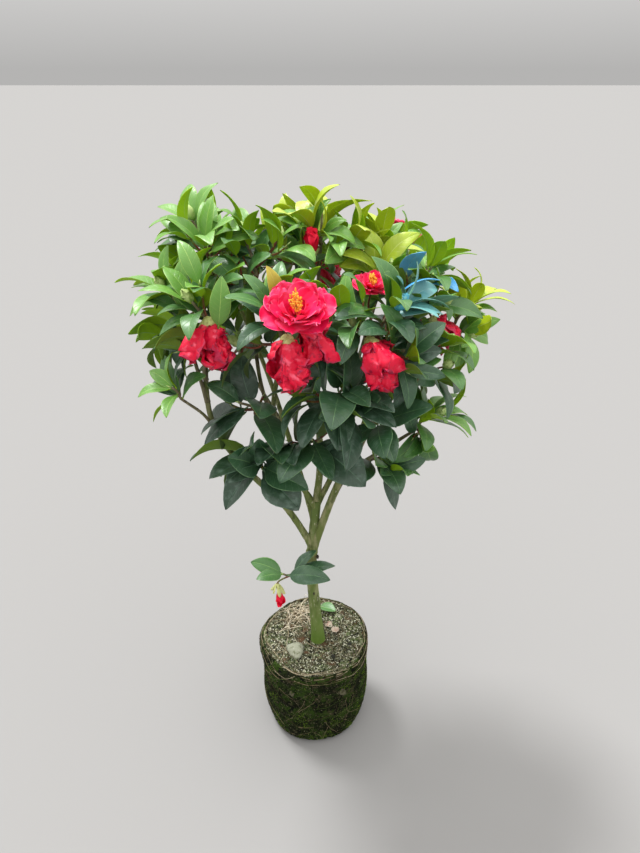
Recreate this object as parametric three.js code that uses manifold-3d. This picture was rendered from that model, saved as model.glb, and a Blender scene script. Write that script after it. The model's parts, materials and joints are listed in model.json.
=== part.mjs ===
// A young camellia trained as a small tree, standing on its bare, pot-shaped root ball.
// Millimetres, +Z up. The origin lies under the middle of the root ball's flat underside, and the
// plant's front looks along -Y.
import * as THREE from "three";
import { mergeVertices } from "three/addons/utils/BufferGeometryUtils.js";
import Module from "manifold-3d";

const wasm = await Module();
wasm.setup();

// Driving dimensions
const CLEARANCE = 0.3;
const BALL_HEIGHT = 210;
const BALL_TOP_RADIUS = 114;
const BALL_FOOT_RADIUS = 107;
const BALL_EDGE = 12;
const BALL_LUMPS = 1.6;
const TRUNK_RADIUS = 13;
const TRUNK_FLARE = 6;
const TRUNK_FLARE_HEIGHT = 16;
const LEAF_LENGTH = 88;
const LEAF_WIDTH_SHARE = 0.46;
const LEAF_THICKNESS = 2.2;
const LEAF_ROOT = 0.8;
const TWIG_RADIUS = 2.4;
const STALK_RADIUS = 2;
const SPUR_LENGTH = 40;
const GOLDEN_ANGLE = (137.5 * Math.PI) / 180;
const CROWN_MIDDLE = new THREE.Vector3(0, 0, 780);

// Clear distances that keep every mass of foliage in its own space
const SPACE_FRINGE = 36;
const LEAF_MARGIN = 2;
const TWIG_MARGIN = 3;
const ROOT_ZONE = 14;

const UP = new THREE.Vector3(0, 0, 1);

// Trunk: its axis from the flat cut on the root ball to the fork, leaning a little to the left.
const TRUNK_AXIS = [
  [7, -10, BALL_HEIGHT + CLEARANCE],
  [1, -11, 300],
  [-4, -10, 376],
  [-5, -8, 440],
  [5, -5, 568],
];

// Boughs: each leaves its parent's axis at a height, passes its bends and ends where its mass
// of foliage begins. Radii are at its two ends.
const BOUGHS = {
  left_stem: {
    from: "trunk",
    height: 462,
    bends: [[-50, -30, 571], [-117, -50, 672], [-160, -66, 772]],
    tip: [-163, -28, 925],
    radii: [6.6, 3.4],
  },
  left_high_bough: {
    from: "left_stem",
    height: 800,
    bends: [[-174, -58, 845]],
    tip: [-186, -44, 888],
    radii: [3.4, 2.6],
  },
  left_front_bough: {
    from: "left_stem",
    height: 835,
    bends: [[-160, -80, 870]],
    tip: [-146, -97, 900],
    radii: [3.2, 2.6],
  },
  left_low_bough: {
    from: "left_stem",
    height: 742,
    bends: [[-168, -78, 785]],
    tip: [-190, -96, 818],
    radii: [2.6, 2.2],
  },
  front_stem: {
    from: "trunk",
    height: 552,
    bends: [[-22, -16, 610], [-62, -58, 765]],
    tip: [-50, -92, 872],
    radii: [5.6, 3.4],
  },
  left_top_bough: {
    from: "front_stem",
    height: 705,
    bends: [[-82, -38, 820]],
    tip: [-92, -18, 930],
    radii: [3.6, 2.8],
  },
  centre_stem: {
    from: "trunk",
    from_tip: true,
    bends: [[11, 4, 640], [6, 22, 800]],
    tip: [8, 40, 935],
    radii: [6.8, 3.4],
  },
  centre_right_stem: {
    from: "trunk",
    height: 556,
    bends: [[36, 2, 630], [58, 30, 760]],
    tip: [80, 48, 905],
    radii: [5.6, 3.2],
  },
  right_stem: {
    from: "trunk",
    height: 447,
    bends: [[31, -20, 579], [49, -30, 640], [80, -55, 750]],
    tip: [92, -90, 862],
    radii: [8.2, 3.4],
  },
  right_mid_bough: {
    from: "right_stem",
    height: 726,
    bends: [[112, -58, 775]],
    tip: [148, -58, 822],
    radii: [3.6, 2.8],
  },
  right_side_stem: {
    from: "right_stem",
    height: 636,
    bends: [[88, -33, 671]],
    tip: [150, -43, 726],
    radii: [4.8, 2.8],
  },
  right_back_stem: {
    from: "right_stem",
    height: 580,
    bends: [[72, 8, 650], [128, 24, 765]],
    tip: [206, 32, 852],
    radii: [5, 2.8],
  },
  right_high_bough: {
    from: "right_back_stem",
    height: 735,
    bends: [[134, 6, 810]],
    tip: [150, 2, 892],
    radii: [3.6, 2.8],
  },
  low_right_bough: {
    from: "right_side_stem",
    height: 662,
    bends: [],
    tip: [92, -56, 686],
    radii: [2.6, 2.2],
  },
  low_left_bough: {
    from: "front_stem",
    height: 655,
    bends: [],
    tip: [-66, -64, 696],
    radii: [3, 2.4],
  },
  low_centre_bough: {
    from: "centre_stem",
    height: 640,
    bends: [],
    tip: [4, -48, 706],
    radii: [3.2, 2.6],
  },
  front_right_bough: {
    from: "right_stem",
    height: 692,
    bends: [[54, -72, 760]],
    tip: [48, -92, 812],
    radii: [3.2, 2.6],
  },
  left_inner_bough: {
    from: "front_stem",
    height: 728,
    bends: [],
    tip: [-80, -72, 768],
    radii: [3, 2.4],
  },
  right_inner_bough: {
    from: "right_stem",
    height: 712,
    bends: [],
    tip: [98, -76, 755],
    radii: [3, 2.4],
  },
  back_left_stem: {
    from: "trunk",
    height: 520,
    bends: [[-34, 26, 640], [-78, 66, 780]],
    tip: [-128, 98, 905],
    radii: [5.8, 3],
  },
  back_left_low_bough: {
    from: "back_left_stem",
    height: 690,
    bends: [],
    tip: [-112, 92, 776],
    radii: [3.4, 2.6],
  },
  back_stem: {
    from: "centre_stem",
    height: 665,
    bends: [[2, 62, 770]],
    tip: [-12, 132, 905],
    radii: [4.6, 3],
  },
  back_low_bough: {
    from: "back_stem",
    height: 745,
    bends: [],
    tip: [12, 112, 800],
    radii: [3.2, 2.6],
  },
  back_right_stem: {
    from: "centre_right_stem",
    height: 660,
    bends: [[70, 70, 780]],
    tip: [106, 124, 890],
    radii: [4.2, 2.8],
  },
  back_right_low_bough: {
    from: "back_right_stem",
    height: 730,
    bends: [],
    tip: [122, 92, 784],
    radii: [3, 2.4],
  },
};

// Masses of foliage: each grows from the tip of its bough, or from the trunk's side at a height,
// and its shoots spread round its middle as far as its reach. One without whorls has only the
// leaves that are placed by themselves.
const MASSES = {
  top_left_foliage: {
    bough: "left_stem",
    middle: [-152, 14, 1003],
    reach: 60,
    shoots: 5,
    seed: 1100,
  },
  left_high_foliage: {
    bough: "left_high_bough",
    middle: [-190, -38, 938],
    reach: 44,
    shoots: 4,
    seed: 1200,
  },
  left_front_foliage: {
    bough: "left_front_bough",
    middle: [-142, -106, 945],
    reach: 42,
    shoots: 4,
    seed: 1300,
  },
  left_low_foliage: {
    bough: "left_low_bough",
    middle: [-200, -104, 842],
    reach: 8,
    shoots: 1,
    seed: 1400,
    leaf: 70,
  },
  front_foliage: {
    bough: "front_stem",
    middle: [-42, -114, 925],
    reach: 58,
    shoots: 5,
    seed: 1500,
  },
  left_top_foliage: {
    bough: "left_top_bough",
    middle: [-84, -4, 985],
    reach: 58,
    shoots: 4,
    seed: 1600,
  },
  top_centre_foliage: {
    bough: "centre_stem",
    middle: [12, 55, 1008],
    reach: 55,
    shoots: 5,
    seed: 1700,
  },
  top_right_foliage: {
    bough: "centre_right_stem",
    middle: [92, 60, 968],
    reach: 58,
    shoots: 5,
    seed: 1800,
  },
  right_front_foliage: {
    bough: "right_stem",
    middle: [92, -98, 925],
    reach: 56,
    shoots: 5,
    seed: 1900,
  },
  right_mid_foliage: {
    bough: "right_mid_bough",
    middle: [168, -62, 872],
    reach: 40,
    shoots: 4,
    seed: 2000,
  },
  right_low_foliage: {
    bough: "right_side_stem",
    middle: [174, -52, 760],
    reach: 26,
    shoots: 3,
    seed: 2100,
  },
  right_far_foliage: {
    bough: "right_back_stem",
    middle: [236, 44, 900],
    reach: 34,
    shoots: 3,
    seed: 2200,
    leaf: 78,
  },
  right_high_foliage: {
    bough: "right_high_bough",
    middle: [160, 6, 958],
    reach: 44,
    shoots: 4,
    seed: 2300,
  },
  low_right_foliage: {
    bough: "low_right_bough",
    middle: [102, -72, 702],
    reach: 8,
    shoots: 1,
    seed: 2400,
    leaf: 96,
  },
  low_left_foliage: {
    bough: "low_left_bough",
    middle: [-82, -82, 716],
    reach: 30,
    shoots: 4,
    seed: 2500,
    leaf: 105,
  },
  low_centre_foliage: {
    bough: "low_centre_bough",
    middle: [0, -84, 744],
    reach: 40,
    shoots: 4,
    seed: 2600,
    leaf: 108,
  },
  front_right_foliage: {
    bough: "front_right_bough",
    middle: [36, -118, 838],
    reach: 38,
    shoots: 4,
    seed: 2700,
    leaf: 100,
  },
  left_inner_foliage: {
    bough: "left_inner_bough",
    middle: [-90, -92, 806],
    reach: 32,
    shoots: 3,
    seed: 3500,
    leaf: 96,
  },
  right_inner_foliage: {
    bough: "right_inner_bough",
    middle: [106, -94, 796],
    reach: 34,
    shoots: 3,
    seed: 3600,
    leaf: 96,
  },
  back_left_foliage: {
    bough: "back_left_stem",
    middle: [-140, 118, 955],
    reach: 52,
    shoots: 5,
    seed: 2800,
  },
  back_left_low_foliage: {
    bough: "back_left_low_bough",
    middle: [-138, 108, 825],
    reach: 40,
    shoots: 3,
    seed: 2900,
    leaf: 96,
  },
  back_foliage: {
    bough: "back_stem",
    middle: [-16, 160, 968],
    reach: 54,
    shoots: 5,
    seed: 3000,
  },
  back_low_foliage: {
    bough: "back_low_bough",
    middle: [10, 150, 825],
    reach: 40,
    shoots: 4,
    seed: 3100,
    leaf: 96,
  },
  back_right_foliage: {
    bough: "back_right_stem",
    middle: [118, 148, 945],
    reach: 50,
    shoots: 5,
    seed: 3200,
  },
  back_right_low_foliage: {
    bough: "back_right_low_bough",
    middle: [142, 106, 815],
    reach: 40,
    shoots: 4,
    seed: 3300,
    leaf: 96,
  },
  low_shoot_foliage: {
    bough: "trunk",
    height: 405,
    middle: [-50, -56, 432],
    reach: 14,
    shoots: 1,
    seed: 2110,
    whorls: false,
  },
};

// How finely the pieces are made
const SMALLEST_EDGE = 0.05;
const BALL_SECTORS = 24;
const BALL_SIDE_STEPS = 5;
const LIMB_STEP = 52;
const TRUNK_SIDES = 10;
const BOUGH_SIDES = 6;
const BEAD_STEP = 5;
const STEM_SIDES = 4;
const STEM_STEPS = 4;
const TWIG_STEPS = 2;
const BLOOM_SECTORS = 7;
const BLOOM_BEADS = 6;
const BEAD_SHARE = 0.55;

// Growth habit
const TRUNK_TIP_SHARE = 0.62;
const TRUNK_FLARE_DECAY = 22;
const LEAVES_A_SHOOT = 5;
const LEAF_ARCH = 0.07;
const YOUNG_LEAN = 0.85;
const OLD_LEAN = 1.5;
const WIDEST_LEAN = 1.75;
const LOWEST_RISE = 0.1;
const SHOOT_LIFT = 0.5;
const STEM_BEND = 0.4;
const SHOOT_BEND = 0.5;
const STALK_BEND = 0.4;
const STALK_DEPTH = 0.12;
const HIGHEST_SHOOT = 0.75;
const LOWEST_SHOOT = 0.3;
const LEAST_REACH = 0.9;
const REACH_SPREAD = 0.25;
const LONGEST_WHORL = 0.75;
const TIP_GAP = 0.08;
const TURN_SPREAD = 0.4;
const LEAN_SPREAD = 0.3;
const YOUNG_LEAF_SHARE = 0.82;
const LEAST_LEAF = 0.9;
const LEAF_SPREAD = 0.2;
const LIGHT_PULL = 0.9;
const TRUNK_SHOOT_SHARE = 1.4;

// Shorter tries for a twig that would touch wood, and tries for a leaf that doesn't fit: how far
// it still leans out, and its size.
const TWIG_TRIES = [1, 0.8, 0.6];
const LEAF_TRIES = [
  { leaning: 1, size: 1 },
  { leaning: 0.75, size: 1 },
  { leaning: 1, size: 0.78 },
  { leaning: 0.6, size: 0.78 },
  { leaning: 0.8, size: 0.6 },
];

// A leaf's outline: how far along it is widest, where it narrows to its tip, how wide it is
// there, and where its keel lies.
const LEAF_WIDEST = 0.36;
const LEAF_NARROWS = 0.74;
const NARROW_SHARE = 0.76;
const KEEL_PLACE = 0.16;

// Blooms that show from a step away, each on a stalk of its own from its mass's stem
const BLOOMS = [
  {
    mass: "front_foliage",
    form: "open",
    place: [-16, -186, 995],
    radius: 49,
    facing: [0.05, -0.62, 0.78],
  },
  {
    mass: "front_foliage",
    form: "wilted",
    place: [6, -172, 946],
    radius: 24,
    facing: [0.3, -0.3, -0.9],
  },
  {
    mass: "front_foliage",
    form: "wilted",
    place: [-28, -190, 921],
    radius: 31,
    facing: [0.1, -0.25, -0.96],
  },
  {
    mass: "left_front_foliage",
    form: "wilted",
    place: [-130, -146, 930],
    radius: 30,
    facing: [0.25, -0.3, -0.92],
  },
  {
    mass: "right_front_foliage",
    form: "wilted",
    place: [88, -162, 910],
    radius: 30,
    facing: [0.35, -0.35, -0.87],
  },
  {
    mass: "top_centre_foliage",
    form: "closed",
    place: [-1, 0, 1030],
    radius: 15,
    facing: [-0.15, -0.2, 0.97],
  },
  {
    mass: "right_front_foliage",
    form: "open",
    place: [84, -72, 988],
    radius: 34,
    facing: [0.1, -0.3, 0.95],
  },
  {
    mass: "right_mid_foliage",
    form: "wilted",
    place: [196, -44, 905],
    radius: 25,
    facing: [0.6, -0.2, -0.77],
  },
  {
    mass: "low_shoot_foliage",
    form: "closed",
    place: [-66, -52, 372],
    radius: 12,
    facing: [0.1, -0.1, -1],
  },
  {
    mass: "back_left_foliage",
    form: "open",
    place: [-158, 186, 985],
    radius: 44,
    facing: [-0.5, 0.6, 0.6],
  },
  {
    mass: "back_foliage",
    form: "wilted",
    place: [20, 224, 930],
    radius: 31,
    facing: [0.1, 0.4, -0.9],
  },
  {
    mass: "back_right_foliage",
    form: "open",
    place: [150, 208, 985],
    radius: 44,
    facing: [0.4, 0.6, 0.7],
  },
];

// Leaves that stand out by themselves: the place near which each leaves its mass's wood, the place
// of its tip, and its breadth as a share of its length
const PLACED_LEAVES = {
  low_left_foliage: [
    { from: [-72, -87, 727], tip: [-140, -125, 638], breadth: 0.46 },
    { from: [-80, -107, 706], tip: [-23, -145, 659], breadth: 0.7 },
  ],
  right_front_foliage: [{ from: [134, -55, 922], tip: [205, -83, 976], breadth: 0.42 }],
  right_high_foliage: [
    { from: [137, 9, 968], tip: [158, -52, 1030], breadth: 0.4 },
    { from: [160, 6, 958], tip: [210, -50, 972], breadth: 0.42 },
  ],
  low_shoot_foliage: [
    { from: [-56, -62, 441], tip: [-118, -45, 455], breadth: 0.5 },
    { from: [-57, -63, 442], tip: [-107, -86, 441], breadth: 0.52 },
    { from: [-53, -59, 436], tip: [30, -81, 444], breadth: 0.42 },
    { from: [-44, -50, 428], tip: [40, -45, 445], breadth: 0.42 },
    { from: [-41, -46, 426], tip: [4, -23, 464], breadth: 0.46 },
  ],
};
const PLACE_STEPS = 40;

// Half outlines of the blooms from foot to tip, as shares of the radius
const BLOOM_FORMS = {
  open: [[0, 0], [0.34, 0.05], [0.82, 0.28], [1, 0.52], [0.72, 0.5], [0, 0.4]],
  wilted: [[0, 0], [0.3, 0.08], [0.8, 0.75], [1, 1.6], [0.72, 2.2], [0, 2.3]],
  closed: [[0, 0], [0.6, 0.15], [0.95, 0.9], [0.6, 1.9], [0, 2.4]],
};

const vector = (place) => new THREE.Vector3(...place);

// A generator of numbers from 0 to 1 that gives the same series for the same seed.
function seeded(seed) {
  let state = seed;
  return () => {
    state = (state * 1664525 + 1013904223) % 4294967296;
    return state / 4294967296;
  };
}

// A closed solid from corner points and triangles.
function solid(points, triangles) {
  return new wasm.Manifold(
    new wasm.Mesh({
      numProp: 3,
      vertProperties: new Float32Array(points.flatMap((point) => point.toArray())),
      triVerts: new Uint32Array(triangles.flat()),
    }),
  );
}

// A tapering round limb along a curve, with a flat cap at each end.
function tube(curve, radiusAt, sides, steps) {
  const frames = curve.computeFrenetFrames(steps, false);
  const points = [];
  const triangles = [];
  for (let ring = 0; ring <= steps; ring++) {
    const share = ring / steps;
    const centre = curve.getPointAt(share);
    for (let side = 0; side < sides; side++) {
      const angle = (side / sides) * 2 * Math.PI;
      const spoke = frames.normals[ring].clone().multiplyScalar(Math.cos(angle));
      spoke.addScaledVector(frames.binormals[ring], Math.sin(angle));
      points.push(centre.clone().addScaledVector(spoke, radiusAt(share)));
      if (ring < steps) {
        const here = ring * sides + side;
        const next = ring * sides + ((side + 1) % sides);
        triangles.push([here, next, next + sides], [here, next + sides, here + sides]);
      }
    }
  }
  const last = steps * sides;
  for (let side = 1; side < sides - 1; side++) {
    triangles.push([0, side + 1, side], [last, last + side, last + side + 1]);
  }
  return solid(points, triangles);
}

// The one body of a solid that counts: fusing and cutting may leave scraps and sealed hollows.
function mainBody(whole) {
  const bodies = whole.simplify(SMALLEST_EDGE).decompose();
  return bodies.reduce((best, body) => (body.volume() > best.volume() ? body : best));
}

// Root ball: the shape of the pot that it grew in, with a rounded edge, a slightly lumpy side
// and a flat underside.
function rootBall() {
  const side = new THREE.SplineCurve([
    new THREE.Vector2(BALL_FOOT_RADIUS - 2, BALL_EDGE * 0.8),
    new THREE.Vector2(BALL_FOOT_RADIUS + 4, BALL_HEIGHT * 0.3),
    new THREE.Vector2(BALL_TOP_RADIUS - 4, BALL_HEIGHT * 0.7),
    new THREE.Vector2(BALL_TOP_RADIUS, BALL_HEIGHT - BALL_EDGE),
  ]);
  const profile = [
    new THREE.Vector2(0, 0),
    new THREE.Vector2(BALL_FOOT_RADIUS - BALL_EDGE, 0),
    ...side.getPoints(BALL_SIDE_STEPS),
    new THREE.Vector2(BALL_TOP_RADIUS - BALL_EDGE * 0.4, BALL_HEIGHT - BALL_EDGE * 0.3),
    new THREE.Vector2(BALL_TOP_RADIUS - BALL_EDGE * 1.6, BALL_HEIGHT),
    new THREE.Vector2(0, BALL_HEIGHT),
  ];
  const lathe = new THREE.LatheGeometry(profile, BALL_SECTORS);
  lathe.rotateX(Math.PI / 2);
  lathe.deleteAttribute("normal");
  lathe.deleteAttribute("uv");
  const merged = mergeVertices(lathe, 1e-3);
  const position = merged.getAttribute("position");
  for (let i = 0; i < position.count; i++) {
    const angle = Math.atan2(position.getY(i), position.getX(i));
    const height = position.getZ(i);
    const radius = Math.hypot(position.getX(i), position.getY(i));
    if (radius < 1) continue;
    const lump = BALL_LUMPS * (Math.sin(3 * angle + height / 40) + Math.sin(5 * angle - height / 27));
    const share = (radius + lump) / radius;
    position.setXY(i, position.getX(i) * share, position.getY(i) * share);
  }
  return new wasm.Manifold(
    new wasm.Mesh({
      numProp: 3,
      vertProperties: new Float32Array(position.array),
      triVerts: new Uint32Array(merged.index.array),
    }),
  );
}

// A limb's curve, its radius along the way, and the solid that other limbs keep clear of.
function limb(points, radiusAt, sides) {
  const curve = new THREE.CatmullRomCurve3(points, false, "centripetal");
  const steps = Math.max(2, Math.round(curve.getLength() / LIMB_STEP));
  const tip = curve.getPointAt(1);
  const direction = curve.getTangentAt(1);
  const wider = CLEARANCE / Math.cos(Math.PI / sides);
  const sleeve = tube(curve, (share) => radiusAt(share) + wider, sides, steps);
  const cap = new THREE.LineCurve3(
    tip.clone().addScaledVector(direction, -1),
    tip.clone().addScaledVector(direction, CLEARANCE),
  );
  return {
    curve,
    radiusAt,
    tip,
    direction,
    tipRadius: radiusAt(1),
    shape: tube(curve, radiusAt, sides, steps),
    keepOut: sleeve.add(tube(cap, () => radiusAt(1) + wider, sides, 1)),
  };
}

// Where a limb's axis passes a height, found by halving because limbs always rise.
function axisAtHeight(curve, height) {
  let low = 0;
  let high = 1;
  for (let turn = 0; turn < 30; turn++) {
    const middle = (low + high) / 2;
    if (curve.getPointAt(middle).z < height) low = middle;
    else high = middle;
  }
  return curve.getPointAt(low);
}

function growLimbs() {
  const foot = vector(TRUNK_AXIS[0]);
  const below = foot.clone().setZ(foot.z - TRUNK_FLARE_HEIGHT);
  const trunkRadius = (share) => {
    const taper = TRUNK_RADIUS * (1 - (1 - TRUNK_TIP_SHARE) * share);
    return taper + TRUNK_FLARE * Math.exp(-share * TRUNK_FLARE_DECAY);
  };
  const trunk = limb([below, ...TRUNK_AXIS.map(vector)], trunkRadius, TRUNK_SIDES);
  trunk.shape = mainBody(trunk.shape.trimByPlane([0, 0, 1], foot.z));
  const limbs = { trunk };
  for (const [name, bough] of Object.entries(BOUGHS)) {
    const parent = limbs[bough.from];
    const start = bough.from_tip
      ? parent.tip.clone().addScaledVector(parent.direction, CLEARANCE)
      : axisAtHeight(parent.curve, bough.height);
    const points = [start, ...bough.bends.map(vector), vector(bough.tip)];
    const [wide, slim] = bough.radii;
    const grown = limb(points, (share) => THREE.MathUtils.lerp(wide, slim, share), BOUGH_SIDES);
    const others = Object.values(limbs).map((other) => other.keepOut);
    grown.shape = mainBody(grown.shape.subtract(wasm.Manifold.union(others)));
    limbs[name] = grown;
  }
  return limbs;
}

// The stem of a mass carries on from its bough's tip, or leaves the trunk's side, and passes the
// mass's middle to the tip of its leading shoot.
function stemOf(mass, limbs) {
  const parent = limbs[mass.bough];
  const middle = vector(mass.middle);
  const onTrunk = mass.height !== undefined;
  const start = onTrunk
    ? axisAtHeight(parent.curve, mass.height)
    : parent.tip.clone().addScaledVector(parent.direction, CLEARANCE);
  const heading = onTrunk ? middle.clone().sub(start).normalize() : parent.direction;
  const outward = middle.clone().sub(CROWN_MIDDLE).normalize();
  outward.setZ(Math.max(outward.z, LOWEST_RISE)).normalize();
  const rising = outward.clone().addScaledVector(UP, SHOOT_LIFT).normalize();
  const tip = middle.clone().addScaledVector(rising, mass.reach);
  const bend = start.clone().addScaledVector(heading, STEM_BEND * start.distanceTo(middle));
  const radius = onTrunk ? TWIG_RADIUS * TRUNK_SHOOT_SHARE : parent.tipRadius;
  const curve = new THREE.CatmullRomCurve3([start, bend, middle, tip], false, "centripetal");
  return { curve, radius, start, middle, outward };
}

// How far a place is from the straight line between a stem's start and the mass's middle.
function awayFromStem(place, { start, middle }) {
  const line = middle.clone().sub(start);
  const share = THREE.MathUtils.clamp(place.clone().sub(start).dot(line) / line.lengthSq(), 0, 1);
  return place.distanceTo(start.clone().addScaledVector(line, share));
}

// The side shoots of a mass leave its stem and spread evenly over a cap round the outward side,
// and each turns up towards the light. One that would touch wood stays shorter, or is left out.
function sideShoots(mass, stem, phase, random, isClear) {
  const { outward, middle } = stem;
  const across = new THREE.Vector3().crossVectors(outward, UP).normalize();
  const over = new THREE.Vector3().crossVectors(across, outward);
  const shoots = [];
  for (let i = 1; i < mass.shoots; i++) {
    const rank = (i + 0.5) / mass.shoots;
    const lean = Math.acos(1 - rank * (1 - Math.cos(WIDEST_LEAN)));
    const turn = phase + i * GOLDEN_ANGLE;
    const direction = outward.clone().multiplyScalar(Math.cos(lean));
    direction.addScaledVector(across, Math.sin(lean) * Math.cos(turn));
    direction.addScaledVector(over, Math.sin(lean) * Math.sin(turn));
    const heading = direction.clone().addScaledVector(UP, SHOOT_LIFT).normalize();
    const start = stem.curve.getPointAt(THREE.MathUtils.lerp(HIGHEST_SHOOT, LOWEST_SHOOT, rank));
    const reach = mass.reach * (LEAST_REACH + REACH_SPREAD * random());
    const curves = TWIG_TRIES.map((share) => {
      const tip = middle.clone().addScaledVector(direction, reach * share);
      const bend = tip.clone().addScaledVector(heading, -SHOOT_BEND * start.distanceTo(tip));
      return new THREE.QuadraticBezierCurve3(start, bend, tip);
    });
    const curve = curves.find(isClear);
    if (curve) shoots.push({ curve, heading, turn });
  }
  return shoots;
}

// The leaves of a shoot stand in a whorl on its last stretch: the lowest lies out flat and the
// youngest at the tip stands up. Each is given as its base, its direction and its upper side.
function leavesOf(mass, shoot, random) {
  const size = mass.leaf ?? LEAF_LENGTH;
  const whorl = Math.min(LONGEST_WHORL, SPUR_LENGTH / shoot.curve.getLength());
  const sideways = new THREE.Vector3(1, 0, 0);
  const first = new THREE.Vector3().crossVectors(shoot.heading, sideways).normalize();
  const second = new THREE.Vector3().crossVectors(shoot.heading, first);
  return Array.from({ length: LEAVES_A_SHOOT }, (_, k) => {
    const age = 1 - k / (LEAVES_A_SHOOT - 1);
    const base = shoot.curve.getPointAt(1 - whorl * THREE.MathUtils.lerp(TIP_GAP, 1, age));
    const turn = shoot.turn + k * GOLDEN_ANGLE + TURN_SPREAD * (random() - 0.5);
    const spoke = first.clone().multiplyScalar(Math.cos(turn)).addScaledVector(second, Math.sin(turn));
    const lean = THREE.MathUtils.lerp(YOUNG_LEAN, OLD_LEAN, age) + LEAN_SPREAD * (random() - 0.5);
    const grown = size * THREE.MathUtils.lerp(YOUNG_LEAF_SHARE, 1, age);
    const length = grown * (LEAST_LEAF + LEAF_SPREAD * random());
    return { base, spoke, lean, length, heading: shoot.heading, shoot };
  });
}

// A leaf to a given tip from the spot of the shoots that is nearest to a place.
function placedLeaf(shoots, { from, tip, breadth }) {
  const place = vector(from);
  const spots = shoots.flatMap((shoot) =>
    shoot.curve.getSpacedPoints(PLACE_STEPS).map((base) => ({ shoot, base })),
  );
  const { shoot, base } = spots.reduce((best, spot) =>
    spot.base.distanceTo(place) < best.base.distanceTo(place) ? spot : best,
  );
  const spoke = vector(tip).sub(base);
  const length = spoke.length();
  spoke.normalize();
  return { base, spoke, lean: Math.PI / 2, length, heading: shoot.heading, breadth, shoot };
}

// A leaf's seven corners: root, two stations on each edge, tip, and a keel under the blade.
function leafCorners(leaf, lean, length) {
  const along = leaf.heading.clone().multiplyScalar(Math.cos(lean));
  along.addScaledVector(leaf.spoke, Math.sin(lean)).normalize();
  const light = leaf.heading.clone().addScaledVector(UP, LIGHT_PULL);
  const face = light.addScaledVector(along, -light.dot(along)).normalize();
  const left = new THREE.Vector3().crossVectors(face, along);
  const halfWidth = (length * (leaf.breadth ?? LEAF_WIDTH_SHARE)) / 2;
  const arch = (share) => 4 * LEAF_ARCH * length * share * (1 - share);
  const corner = (share, aside, lower = 0) =>
    leaf.base
      .clone()
      .addScaledVector(along, share * (length + LEAF_ROOT) - LEAF_ROOT)
      .addScaledVector(left, aside)
      .addScaledVector(face, arch(share) - lower);
  return [
    corner(0, 0),
    corner(LEAF_WIDEST, -halfWidth),
    corner(LEAF_WIDEST, halfWidth),
    corner(LEAF_NARROWS, -halfWidth * NARROW_SHARE),
    corner(LEAF_NARROWS, halfWidth * NARROW_SHARE),
    corner(1, 0),
    corner(KEEL_PLACE, 0, LEAF_THICKNESS),
  ];
}

// The four upper faces, then the six round the keel.
const LEAF_FACES = [
  [0, 1, 2],
  [1, 3, 4],
  [1, 4, 2],
  [3, 5, 4],
  [1, 0, 6],
  [3, 1, 6],
  [5, 3, 6],
  [4, 5, 6],
  [2, 4, 6],
  [0, 2, 6],
];
const LEAF_EDGES = LEAF_FACES.flatMap(([a, b, c]) => [
  [a, b],
  [b, c],
  [c, a],
]).filter(([a, b]) => a < b);
const LEAF_TIP = 5;

// Places spread over a leaf that its clearances are tested at.
function leafTestPlaces(corners) {
  const [root, right, left, farRight, farLeft, tip] = corners;
  const pairs = [
    [root, right],
    [root, left],
    [right, left],
    [right, farRight],
    [left, farLeft],
    [farRight, farLeft],
    [farRight, tip],
    [farLeft, tip],
  ];
  const halves = pairs.map(([a, b]) => a.clone().lerp(b, 0.5));
  return [right, left, farRight, farLeft, tip, ...halves];
}

// Each mass has the space that is nearer to its own stem than to any other, and the fringe that
// masses share at their edge.
function inOwnSpace(place, stem, others) {
  const own = awayFromStem(place, stem);
  return others.every((other) => own - awayFromStem(place, other) < SPACE_FRINGE);
}

// Whether the edges of one blade pass through a face of another.
function cutsThrough(blade, other) {
  const ray = new THREE.Ray();
  const hit = new THREE.Vector3();
  return blade.edges.some(([from, to]) => {
    const length = from.distanceTo(to);
    ray.origin.copy(from);
    ray.direction.copy(to).sub(from).divideScalar(length);
    return other.faces.some(
      ({ a, b, c }) => ray.intersectTriangle(a, b, c, false, hit) && hit.distanceTo(from) < length,
    );
  });
}

// Whether the places of one leaf keep off the blade of another. Leaves of one shoot may meet
// near their roots.
function keepsOff(blade, other) {
  const nearest = new THREE.Vector3();
  const sameShoot = blade.shoot === other.shoot;
  return blade.places.every(
    (place) =>
      (sameShoot && place.distanceTo(other.base) < ROOT_ZONE) ||
      other.faces.every(
        (face) => face.closestPointToPoint(place, nearest).distanceTo(place) > LEAF_MARGIN,
      ),
  );
}

function clearOfLeaf(blade, other) {
  const reach = blade.length + other.length + LEAF_MARGIN;
  if (blade.base.distanceTo(other.base) > reach) return true;
  if (blade.middle.distanceTo(other.middle) > reach / 2) return true;
  if (cutsThrough(blade, other) || cutsThrough(other, blade)) return false;
  return keepsOff(blade, other) && keepsOff(other, blade);
}

// Whether a blade passes limbs, twigs, stalks and blooms, apart from its own shoot at its root.
function missesBeads(blade, beads) {
  const nearest = new THREE.Vector3();
  return beads.every(({ place, radius, shoot }) => {
    if (place.distanceTo(blade.middle) > blade.length / 2 + radius + ROOT_ZONE) return true;
    if (shoot === blade.shoot && place.distanceTo(blade.base) < ROOT_ZONE) return true;
    return blade.faces.every(
      (face) => face.closestPointToPoint(place, nearest).distanceTo(place) > radius + LEAF_MARGIN,
    );
  });
}

// Points along a curve, a few millimetres apart, with the limb's radius there.
function beadsAlong(curve, radiusAt, shoot) {
  const count = Math.ceil(curve.getLength() / BEAD_STEP);
  return Array.from({ length: count + 1 }, (_, i) => ({
    place: curve.getPointAt(i / count),
    radius: radiusAt(i / count),
    shoot,
  }));
}

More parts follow.
